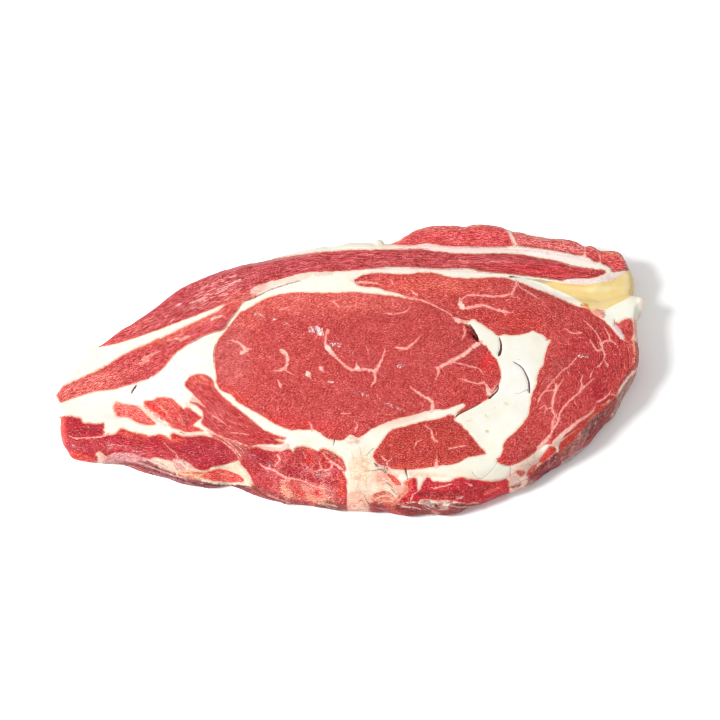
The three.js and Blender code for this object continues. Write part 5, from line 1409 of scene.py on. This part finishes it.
def mix(tree, share, first, second, blend="MIX"):
    """A colour between two others, or their blend."""
    node = tree.nodes.new("ShaderNodeMix")
    node.data_type = "RGBA"
    node.blend_type = blend
    for index, source in ((0, share), (6, first), (7, second)):
        plug(tree, node.inputs[index], source)
    return node.outputs[2]


def mix_value(tree, share, first, second):
    """A number between two others."""
    node = tree.nodes.new("ShaderNodeMix")
    node.data_type = "FLOAT"
    for name, source in (("Factor", share), ("A", first), ("B", second)):
        plug(tree, node.inputs[name], source)
    return node.outputs["Result"]


def noise_node(tree, place, size_mm, detail):
    node = tree.nodes.new("ShaderNodeTexNoise")
    plug(tree, node.inputs["Vector"], place)
    node.inputs["Scale"].default_value = 1 / size_mm
    node.inputs["Detail"].default_value = detail
    return node


def noise(tree, place, size_mm, detail=2.0, roughness=0.5, spread=0.0, scale=None, shift=None):
    """Noise from 0 to 1; the place is in mm, and may be scaled or shifted first."""
    if scale:
        place = vector_maths(tree, "MULTIPLY", place, scale)
    if shift:
        place = vector_maths(tree, "ADD", place, shift)
    node = noise_node(tree, place, size_mm, detail)
    node.inputs["Roughness"].default_value = roughness
    node.inputs["Distortion"].default_value = spread
    return node.outputs["Fac"]


def warped(tree, place, size_mm, amount_mm):
    """A place bent by soft noise."""
    bend = noise_node(tree, place, size_mm, 1.0).outputs["Color"]
    return vector_maths(tree, "ADD", place, vector_maths(tree, "SCALE", bend, amount_mm))


def cell_edges(tree, place, size_mm):
    """The distance to the walls of a net of cells, as a share of a cell."""
    node = tree.nodes.new("ShaderNodeTexVoronoi")
    node.feature = "DISTANCE_TO_EDGE"
    plug(tree, node.inputs["Vector"], place)
    node.inputs["Scale"].default_value = 1 / size_mm
    return node.outputs["Distance"]


def field(tree, name, output="Fac"):
    """One of the piece's own fields."""
    node = tree.nodes.new("ShaderNodeAttribute")
    node.attribute_name = name
    return node.outputs[output]


def object_place(tree):
    """Object coordinates in mm."""
    node = tree.nodes.new("ShaderNodeTexCoord")
    return vector_maths(tree, "MULTIPLY", node.outputs["Object"], (1 / MM,) * 3)


def paleness(tree, tone):
    return vector_maths(tree, "DOT_PRODUCT", tone, (0.33, 0.33, 0.33))


def colour(name):
    return (*[float(v) for v in linear(TONES[name])], 1.0)


def new_group(name, inputs, outputs):
    """A shader node group with named sockets."""
    group = bpy.data.node_groups.new(name, "ShaderNodeTree")
    for socket_name, kind, default in inputs:
        socket = group.interface.new_socket(socket_name, in_out="INPUT", socket_type=kind)
        if default is not None:
            socket.default_value = default
    for socket_name, kind in outputs:
        group.interface.new_socket(socket_name, in_out="OUTPUT", socket_type=kind)
    source = group.nodes.new("NodeGroupInput")
    result = group.nodes.new("NodeGroupOutput")
    return group, source.outputs, result.inputs


def use_group(tree, group, **values):
    node = tree.nodes.new("ShaderNodeGroup")
    node.node_tree = group
    for name, source in values.items():
        plug(tree, node.inputs[name], source)
    return node.outputs


# ------------------------------------------------------------ surface effects
# Tones that the patterns bring, in sRGB as they show, and gains of red, green and blue.

TONES = {
    "pale stroke": (286, 160, 148),
    "fleck": (286, 172, 160),
    # Painted highlights: glint specks, and sheen along the fibres.
    "glint speck": (300, 194, 186),
    "sinew": (280, 188, 172),
    "net blotch": (244, 134, 118),
    "net thread": (252, 152, 138),
    "fat speck": (240, 212, 170),
    "loose pink": (240, 160, 140),
    "loose pale": (256, 238, 214),
    "loose web": (198, 112, 98),
    "skin red": (176, 52, 50),
    "skin light": (242, 200, 186),
    "fat blush": (250, 196, 172),
    "lean rim": (232, 92, 72),
    "vein edge": (256, 138, 130),
    "thin vein": (264, 186, 174),
    "thick vein": (264, 228, 212),
    # Painted shade in the openings:
    "opening": (104, 46, 32),
    # Painted sheen and painted glints of the wettest spots:
    "wet_sheen": (178, 88, 92),
    "glint": (254, 236, 230),
}
LIGHTER = (1.31, 1.85, 1.9)
DARKER = (0.73, 0.34, 0.32)
FAT_CLOUD_GAIN = (0.99, 0.94, 0.87)
FAT_GRAIN_GAIN = (0.95, 0.92, 0.88)
SKIN_STREAK_GAIN = (0.58, 0.42, 0.44)
SKIN_DARK_GAIN = (0.62, 0.50, 0.50)
SKIN_LIGHT_GAIN = (1.35, 1.60, 1.55)
CORD_GAIN = (0.97, 0.88, 0.72)
# Layers of a sheet: the pattern, where it starts and is full, its gain, and whether it fades on pale sheets.
SHEET_LAYERS = (
    ("lumps", 0.49, 0.38, (0.80, 0.60, 0.60), True),
    ("lumps", 0.53, 0.70, (1.08, 1.20, 1.16), False),
    ("streaks", 0.49, 0.41, (0.60, 0.42, 0.42), True),
    ("streaks", 0.52, 0.60, (1.30, 1.70, 1.65), True),
    ("fine", 0.47, 0.28, (0.72, 0.58, 0.58), True),
    ("fine", 0.53, 0.72, (1.25, 1.45, 1.45), True),
)


def gained(tree, share, value, gain):
    """A colour multiplied by a gain where the share is full."""
    return mix(tree, share, value, mix(tree, 1.0, value, (*gain, 1.0), "MULTIPLY"))


def mottled(tree, value, pattern, amount, near=0.03, far=0.22):
    """Lean that is darker where a pattern is low and lighter where it is high."""
    value = gained(tree, remap(tree, pattern, 0.5 - near, 0.5 - far, full=amount), value, DARKER)
    return gained(tree, remap(tree, pattern, 0.5 + near, 0.5 + far, full=amount), value, LIGHTER)


def scribbles(tree, place, size_mm, width, low, high):
    """Short thin curved strokes: the level lines of one noise, kept where a second one is high."""
    level = maths(tree, "SUBTRACT", noise(tree, place, size_mm, 1.0, spread=0.3), 0.5)
    stroke = remap(tree, maths(tree, "ABSOLUTE", level), width, width * 0.25)
    kept = noise(tree, place, size_mm * 1.1, 1.0, shift=(31.0, 17.0, 5.0))
    return times(tree, stroke, remap(tree, kept, low, high))


def line_group():
    """A thin line: full inside its half width, gone outside it and past its ends."""
    inputs = [("side", FLOAT, 1.0), ("near", FLOAT, 1.0), ("half", FLOAT, 0.5), ("waver", FLOAT, 0.0),
              ("soft", FLOAT, 0.15)]
    group, source, result = new_group("thin_line", inputs, [("mask", FLOAT)])
    away = maths(group, "ABSOLUTE", plus(group, source["side"], source["waver"]))
    edge = maths(group, "SUBTRACT", away, source["half"])
    inside = remap(group, edge, source["soft"], times(group, source["soft"], -1.0))
    past = maths(group, "SUBTRACT", source["near"], source["half"])
    plug(group, result["mask"], times(group, inside, remap(group, past, 0.62, 0.38)))
    return group


def lean_group():
    """Cut lean: fibre bundles, fine grain, painted glint specks, dark hairs, pale strokes, painted fibre
    sheen and a net.
    """
    inputs = [("tone", COLOUR, None), ("grain", VECTOR, None), ("place", VECTOR, None), ("net", FLOAT, 0.0),
              ("streak", FLOAT, 0.0), ("sinew", FLOAT, 0.0), ("sparkle", FLOAT, 1.0)]
    group, source, result = new_group("cut_lean", inputs, [("colour", COLOUR), ("height", FLOAT)])
    grain = source["grain"]
    place = source["place"]
    clouds = noise(group, place, 6.0)
    bundles = noise(group, grain, 3.0, roughness=0.55, spread=0.6)
    knots = noise(group, grain, 1.6, 1.0, spread=0.4, shift=(11.0, 7.0, 3.0))
    ribbons = noise(group, grain, 1.2, roughness=0.55, spread=0.3, scale=(0.6, 1.6, 1.0))
    fine = noise(group, grain, 0.70, 0.0, shift=(2.0, 9.0, 4.0))
    threads = noise(group, grain, 0.38, 0.0, scale=(0.42, 1.0, 1.0))
    pepper = noise(group, place, 0.33, 0.0)
    specks = noise(group, place, 0.50, 0.0, shift=(4.0, 8.0, 1.0))
    flecks = noise(group, place, 1.0, 1.0, shift=(14.0, 2.0, 6.0))
    clusters = noise(group, place, 2.6, roughness=0.6, shift=(5.0, 23.0, 9.0))
    dashes = noise(group, grain, 0.55, 0.0, scale=(0.7, 1.1, 1.0))
    strokes = scribbles(group, place, 1.1, 0.05, 0.53, 0.60)
    hairs = scribbles(group, vector_maths(group, "ADD", place, (8.0, 3.0, 1.0)), 0.9, 0.06, 0.52, 0.60)

    value = source["tone"]
    for pattern, amount in ((clouds, 0.35), (bundles, 0.42), (knots, 0.26)):
        value = mottled(group, value, pattern, amount)
    value = mottled(group, value, ribbons, times(group, source["streak"], 0.66), near=0.02, far=0.18)
    value = mottled(group, value, fine, 0.18)
    value = mottled(group, value, threads, 1.0, near=0.01, far=0.19)
    value = mottled(group, value, pepper, 1.0, near=0.0, far=0.15)
    value = gained(group, times(group, hairs, 0.55), value, DARKER)
    value = mix(group, times(group, strokes, 0.42), value, colour("pale stroke"))
    value = mix(group, remap(group, flecks, 0.69, 0.78, full=0.5), value, colour("fleck"))
    # Painted glints: bright specks in clusters, standing in for light off the wet fibres.
    shine = times(group, remap(group, specks, 0.61, 0.77), remap(group, clusters, 0.46, 0.66, 0.04, 0.75))
    value = mix(group, times(group, shine, source["sparkle"]), value, colour("glint speck"))
    calm = remap(group, paleness(group, source["tone"]), 0.22, 0.29, 1.0, 0.35)
    value = mix(group, calm, source["tone"], value)
    # Painted sheen: bright dashes along the grain where the fibres catch the light.
    sinews = times(group, remap(group, dashes, 0.57, 0.68, full=0.85), source["sinew"])
    value = mix(group, sinews, value, colour("sinew"))

    bent = warped(group, place, 2.0, 1.6)
    blotches = remap(group, noise(group, bent, 2.6, 3.0, 0.6), 0.52, 0.64, full=0.5)
    value = mix(group, times(group, blotches, source["net"]), value, colour("net blotch"))
    web = remap(group, cell_edges(group, bent, 3.0), 0.10, 0.0)
    web = times(group, web, remap(group, clusters, 0.34, 0.50))
    value = mix(group, times(group, web, source["net"]), value, colour("net thread"))
    plug(group, result["colour"], value)

    height = times_plus(group, strokes, 0.4, fine)
    height = times_plus(group, knots, 1.2, height)
    plug(group, result["height"], times_plus(group, hairs, -0.4, height))
    return group


def fat_group():
    """Cut fat: waxy and pale with faint strands and a few specks, pink and webbed where it is loose."""
    inputs = [("tone", COLOUR, None), ("place", VECTOR, None), ("loose", FLOAT, 0.0)]
    group, source, result = new_group("cut_fat", inputs, [("colour", COLOUR), ("height", FLOAT)])
    place = source["place"]
    clouds = noise(group, place, 7.0, 4.0, 0.6)
    fine = noise(group, place, 0.9, 3.0, 0.6)
    value = gained(group, remap(group, clouds, 0.42, 0.72, full=0.8), source["tone"], FAT_CLOUD_GAIN)
    specks = remap(group, noise(group, place, 3.1, 1.0), 0.70, 0.78)
    value = mix(group, times(group, specks, 0.5), value, colour("fat speck"))
    value = gained(group, remap(group, fine, 0.50, 0.28, full=0.5), value, FAT_GRAIN_GAIN)
    bent = warped(group, place, 3.0, 3.0)
    lumps = noise(group, bent, 2.2, roughness=0.6)
    for pattern, tone in (
        (remap(group, lumps, 0.50, 0.66, full=0.7), "loose pink"),
        (remap(group, lumps, 0.46, 0.34, full=0.6), "loose pale"),
        (remap(group, cell_edges(group, bent, 3.6), 0.07, 0.0, full=0.5), "loose web"),
    ):
        value = mix(group, times(group, pattern, source["loose"]), value, colour(tone))
    plug(group, result["colour"], value)
    plug(group, result["height"], times_plus(group, fine, 0.5, clouds))
    return group


def membrane_group():
    """The dull skin on the outer wall: streaked, folded, with red showing through."""
    inputs = [("tone", COLOUR, None), ("place", VECTOR, None)]
    outputs = [("colour", COLOUR), ("cover", FLOAT), ("height", FLOAT)]
    group, source, result = new_group("outer_membrane", inputs, outputs)
    streaks = noise(group, source["place"], 2.0, 4.0, 0.66, spread=0.9, scale=(0.42, 0.5, 1.4))
    fine = noise(group, source["place"], 0.6, roughness=0.65)
    red = mix(group, 0.65, source["tone"], colour("skin red"))
    value = mix(group, remap(group, streaks, 0.50, 0.38), source["tone"], red)
    value = gained(group, remap(group, streaks, 0.42, 0.28), value, SKIN_STREAK_GAIN)
    light = mix(group, 0.55, source["tone"], colour("skin light"))
    value = mix(group, remap(group, streaks, 0.55, 0.70), value, light)
    value = gained(group, remap(group, fine, 0.48, 0.28), value, SKIN_DARK_GAIN)
    value = gained(group, remap(group, fine, 0.54, 0.74), value, SKIN_LIGHT_GAIN)
    plug(group, result["colour"], value)
    plug(group, result["cover"], remap(group, streaks, 0.66, 0.44, 0.55, 0.97))
    plug(group, result["height"], times_plus(group, streaks, 0.8, fine))
    return group


def sheet_group():
    """A skin, fold or lump: its tone with soft streaks and a fine grain."""
    inputs = [("tone", COLOUR, None), ("place", VECTOR, None)]
    group, source, result = new_group("skin_sheet", inputs, [("colour", COLOUR), ("height", FLOAT)])
    place = source["place"]
    patterns = {
        "lumps": noise(group, place, 3.2, spread=0.6),
        "streaks": noise(group, place, 1.1, 3.0, 0.7, spread=1.2, scale=(0.42, 0.8, 1.4)),
        "fine": noise(group, place, 0.55, 1.0, 0.6),
    }
    contrast = remap(group, paleness(group, source["tone"]), 0.14, 0.48, 1.0, 0.14)
    value = source["tone"]
    for name, low, high, gain, fades in SHEET_LAYERS:
        share = remap(group, patterns[name], low, high)
        value = gained(group, times(group, contrast, share) if fades else share, value, gain)
    plug(group, result["colour"], value)
    plug(group, result["height"], times_plus(group, patterns["fine"], 0.5, patterns["streaks"]))
    return group


# ---------------------------------------------------------------- the material

STRAND_COVER = 0.85
FAT_ROUGHNESS = 0.52
COAT_ROUGHNESS = 0.16
COAT_ON_WET = 0.5
BEEF_IOR = 1.42
BEEF_SPECULAR = 0.35
BUMP_STRENGTH = 0.55
BUMP_DISTANCE = 0.40 * MM


def centred(tree, pattern, width):
    """A pattern from 0 to 1 turned into a shift of up to half the width either way, in mm."""
    return times_plus(tree, pattern, width, -width / 2)


def line_mask(tree, lines, kind, half, waver, soft):
    """Where one kind of thin line lies."""
    return use_group(tree, lines, side=field(tree, kind + "_side"), near=field(tree, kind + "_near"),
                     half=half, waver=waver, soft=soft)["mask"]


def with_veins(tree, cut, place, lines, waver, swell):
    """The cut face with its lines of fat: a soft pink edge and a pale core."""
    half = field(tree, "vein_half")
    thick = remap(tree, half, 0.45, 1.30)
    half = times(tree, half, mix_value(tree, times(tree, thick, 0.75), swell, 1.0))
    waver = times(tree, waver, 1.8)
    edge = line_mask(tree, lines, "vein", half, waver, 0.46)
    core_half = times(tree, half, mix_value(tree, thick, 0.60, 0.80))
    core = line_mask(tree, lines, "vein", core_half, waver, 0.32)
    cut = mix(tree, times(tree, edge, 0.60), cut, colour("vein edge"))
    tone = mix(tree, remap(tree, half, 0.5, 1.6), colour("thin vein"), colour("thick vein"))
    broken = remap(tree, noise(tree, place, 1.1, roughness=0.6), 0.36, 0.56, 0.42, 0.90)
    share = maths(tree, "MAXIMUM", broken, remap(tree, half, 0.95, 1.5, 0.5, 0.96))
    return mix(tree, times(tree, core, share), cut, tone)


def with_openings(tree, cut, lines, waver):
    """The cut face with its openings and folds darkened by painted shade."""
    half = field(tree, "crack_half")
    crack = line_mask(tree, lines, "crack", half, times(tree, waver, 0.5), 0.2)
    return mix(tree, times(tree, crack, remap(tree, half, 0.12, 0.55, 0.40, 0.95)), cut, colour("opening"))


def with_painted_sheen(tree, cut, place, wet_sheen):
    """The cut face with painted sheen where it is wettest: a painted grey veil and painted white glints of
    reflected light.
    """
    glints = remap(tree, noise(tree, place, 0.80, 1.0, 0.6), 0.54, 0.64)
    glints = times(tree, glints, remap(tree, wet_sheen, 0.25, 0.75))
    cut = mix(tree, times(tree, wet_sheen, 0.30), cut, colour("wet_sheen"))
    return mix(tree, glints, cut, colour("glint"))


def set_gloss(tree, shader, place, grain, lean, ligament, wet_sheen):
    """Roughness and coat: moist lean and ligament, waxy fat, wet spots."""
    lean_rough = times_plus(tree, noise(tree, grain, 1.2, 3.0, 0.6), 0.30, 0.32)
    rough = times_plus(tree, lean, maths(tree, "SUBTRACT", lean_rough, FAT_ROUGHNESS), FAT_ROUGHNESS)
    rough = maths(tree, "SUBTRACT", rough, times(tree, ligament, 0.2))
    rough = maths(tree, "SUBTRACT", rough, times(tree, wet_sheen, 0.15))
    plug(tree, shader.inputs["Roughness"], rough)
    moist = remap(tree, noise(tree, place, 2.2, 3.0, 0.6), 0.45, 0.75, full=0.30)
    coat = times(tree, maths(tree, "MAXIMUM", lean, ligament), moist)
    coat = maths(tree, "MAXIMUM", coat, times(tree, wet_sheen, COAT_ON_WET))
    plug(tree, shader.inputs["Coat Weight"], coat)
    shader.inputs["Coat Roughness"].default_value = COAT_ROUGHNESS
    shader.inputs["IOR"].default_value = BEEF_IOR
    shader.inputs["Specular IOR Level"].default_value = BEEF_SPECULAR


def set_bump(tree, shader, height):
    bump = tree.nodes.new("ShaderNodeBump")
    bump.inputs["Strength"].default_value = BUMP_STRENGTH
    bump.inputs["Distance"].default_value = BUMP_DISTANCE
    plug(tree, bump.inputs["Height"], height)
    plug(tree, shader.inputs["Normal"], bump.outputs[0])


def steak_material():
    """Raw beef: lean, fat, ligament, outer membrane and loose skins, each where its field says."""
    material = bpy.data.materials.new("raw_beef")
    material.use_nodes = True
    tree = material.node_tree
    shader = tree.nodes["Principled BSDF"]
    place = object_place(tree)
    grain = field(tree, "grain", "Vector")
    soft = field(tree, "soft")
    wet_sheen = field(tree, "wet_sheen")

    fuzz = centred(tree, noise(tree, place, 0.8, 3.0, 0.7), 1.2)
    bays = centred(tree, noise(tree, place, 2.6, 1.0), 1.0)
    ragged = plus(tree, fuzz, bays)
    edge = plus(tree, field(tree, "lean_depth"), ragged)
    lean_mask = remap(tree, edge, times(tree, soft, -1.0), soft)

    lines = line_group()
    waver = centred(tree, noise(tree, place, 1.4, 3.0, 0.7), 1.0)
    swell = remap(tree, noise(tree, place, 1.5, 1.0), 0.34, 0.66, 0.62, 1.24)
    strand_half = field(tree, "strand_half")
    strand = line_mask(tree, lines, "strand", times(tree, strand_half, swell), waver,
                       times_plus(tree, strand_half, 0.55, 0.20))
    strand_tone = field(tree, "strand_tone", "Color")

    lean_tone = mix(tree, times(tree, strand, STRAND_COVER), field(tree, "lean_tone", "Color"), strand_tone)
    lean = use_group(tree, lean_group(), tone=lean_tone, grain=grain, place=place, net=field(tree, "net"),
                     streak=field(tree, "streak"), sinew=field(tree, "sinew"),
                     sparkle=remap(tree, soft, 0.40, 0.46, 1.0, 0.45))
    fat = use_group(tree, fat_group(), tone=field(tree, "fat_tone", "Color"), place=place,
                    loose=field(tree, "loose"))
    membrane = use_group(tree, membrane_group(), tone=field(tree, "membrane_tone", "Color"), place=place)
    sheet_effect = sheet_group()
    sheet = use_group(tree, sheet_effect, tone=field(tree, "sheet_tone", "Color"), place=place)
    streak = use_group(tree, sheet_effect, tone=strand_tone, place=place)

    blush = remap(tree, edge, times_plus(tree, soft, -1.6, -0.4), -0.1, full=0.65)
    tinted = mix(tree, blush, fat["colour"], colour("fat blush"))
    rim = mix(tree, remap(tree, edge, 1.1, 0.1, full=0.5), lean["colour"], colour("lean rim"))
    cut = mix(tree, lean_mask, tinted, rim)
    cut = with_veins(tree, cut, place, lines, waver, swell)

    ligament_edge = plus(tree, field(tree, "ligament_depth"), times(tree, ragged, 0.3))
    ligament_mask = remap(tree, ligament_edge, -0.1, 0.25)
    cord_clouds = remap(tree, noise(tree, place, 3.0), 0.4, 0.7, full=0.4)
    cut = mix(tree, ligament_mask, cut,
              gained(tree, cord_clouds, field(tree, "ligament_tone", "Color"), CORD_GAIN))
    clad = times(tree, field(tree, "wall"), rest_of(tree, field(tree, "bare")))
    cut = mix(tree, times(tree, clad, membrane["cover"]), cut, membrane["colour"])
    torn = centred(tree, noise(tree, place, 1.3, 3.0, 0.7), 2.6)
    sheet_mask = remap(tree, plus(tree, field(tree, "sheet_depth"), torn), -0.75, 0.25, full=0.97)
    cut = mix(tree, sheet_mask, cut, sheet["colour"])
    open_lean = times(tree, lean_mask, rest_of(tree, sheet_mask))
    over = times(tree, strand, maths(tree, "SUBTRACT", STRAND_COVER, open_lean, clamp=True))
    cut = mix(tree, over, cut, streak["colour"])
    cut = with_openings(tree, cut, lines, waver)
    plug(tree, shader.inputs["Base Color"], with_painted_sheen(tree, cut, place, wet_sheen))
    set_gloss(tree, shader, place, grain, lean_mask, ligament_mask, wet_sheen)

    lean_height = times(tree, lean["height"], lean_mask)
    fat_height = times(tree, fat["height"], rest_of(tree, lean_mask))
    height = times_plus(tree, fat_height, 0.4, lean_height)
    height = times_plus(tree, membrane["height"], clad, height)
    height = times_plus(tree, sheet["height"], times(tree, sheet_mask, 0.9), height)
    set_bump(tree, shader, height)
    return material


# ------------------------------------------------------------------ the steak


def make_steak():
    piece = fine_mesh(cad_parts["steak"], "steak_surface")
    fields = surface_fields(piece.data)
    carve(piece, fields)
    store(piece.data, fields)
    for polygon in piece.data.polygons:
        polygon.use_smooth = True
    piece.data.materials.clear()
    piece.data.materials.append(steak_material())
    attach(piece, "root")
    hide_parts("steak")


# ------------------------------------------------------------- floor and light

FLOOR_HALF = 3.0
FLOOR_COLOUR = (0.9, 0.9, 0.9, 1)
FLOOR_ROUGHNESS = 0.9
FLOOR_SPECULAR = 0.1
LIGHT_DISTANCE = 1.4
LIGHT_WIDTH = 0.44
LIGHT_FROM = Vector((-19.0, -6.5, 18.0)).normalized()
LIGHT_POWER = 26.0
SKY_STRENGTH = 0.78
FILTER_WIDTH = 1.1


def make_floor():
    mesh = bpy.data.meshes.new("floor")
    half = FLOOR_HALF
    corners = [(-half, -half, 0), (half, -half, 0), (half, half, 0), (-half, half, 0)]
    mesh.from_pydata(corners, [], [(0, 1, 2, 3)])
    floor = bpy.data.objects.new("floor", mesh)
    bpy.context.scene.collection.objects.link(floor)
    material = bpy.data.materials.new("floor_paper")
    material.use_nodes = True
    shader = material.node_tree.nodes["Principled BSDF"]
    shader.inputs["Base Color"].default_value = FLOOR_COLOUR
    shader.inputs["Roughness"].default_value = FLOOR_ROUGHNESS
    shader.inputs["Specular IOR Level"].default_value = FLOOR_SPECULAR
    mesh.materials.append(material)


def make_light():
    data = bpy.data.lights.new("softbox", "AREA")
    data.shape = "DISK"
    data.size = LIGHT_WIDTH
    data.energy = LIGHT_POWER
    lamp = bpy.data.objects.new("softbox", data)
    lamp.location = Vector(AIM) + LIGHT_FROM * LIGHT_DISTANCE
    lamp.rotation_euler = LIGHT_FROM.to_track_quat("Z", "Y").to_euler()
    bpy.context.scene.collection.objects.link(lamp)
    world = bpy.data.worlds.new("studio")
    world.use_nodes = True
    sky = world.node_tree.nodes["Background"]
    sky.inputs["Color"].default_value = (1, 1, 1, 1)
    sky.inputs["Strength"].default_value = SKY_STRENGTH
    bpy.context.scene.world = world


def make_camera():
    data = bpy.data.cameras.new("camera")
    data.lens = LENS_MM
    data.sensor_width = SENSOR_MM
    camera = bpy.data.objects.new("camera", data)
    camera.location = Vector(CAMERA_PLACE)
    camera.rotation_euler = Vector(TO_CAMERA).to_track_quat("Z", "Y").to_euler()
    bpy.context.scene.collection.objects.link(camera)
    bpy.context.scene.camera = camera


make_steak()
make_floor()
make_light()
make_camera()
bpy.context.scene.view_settings.view_transform = "Standard"
bpy.context.scene.cycles.filter_width = FILTER_WIDTH
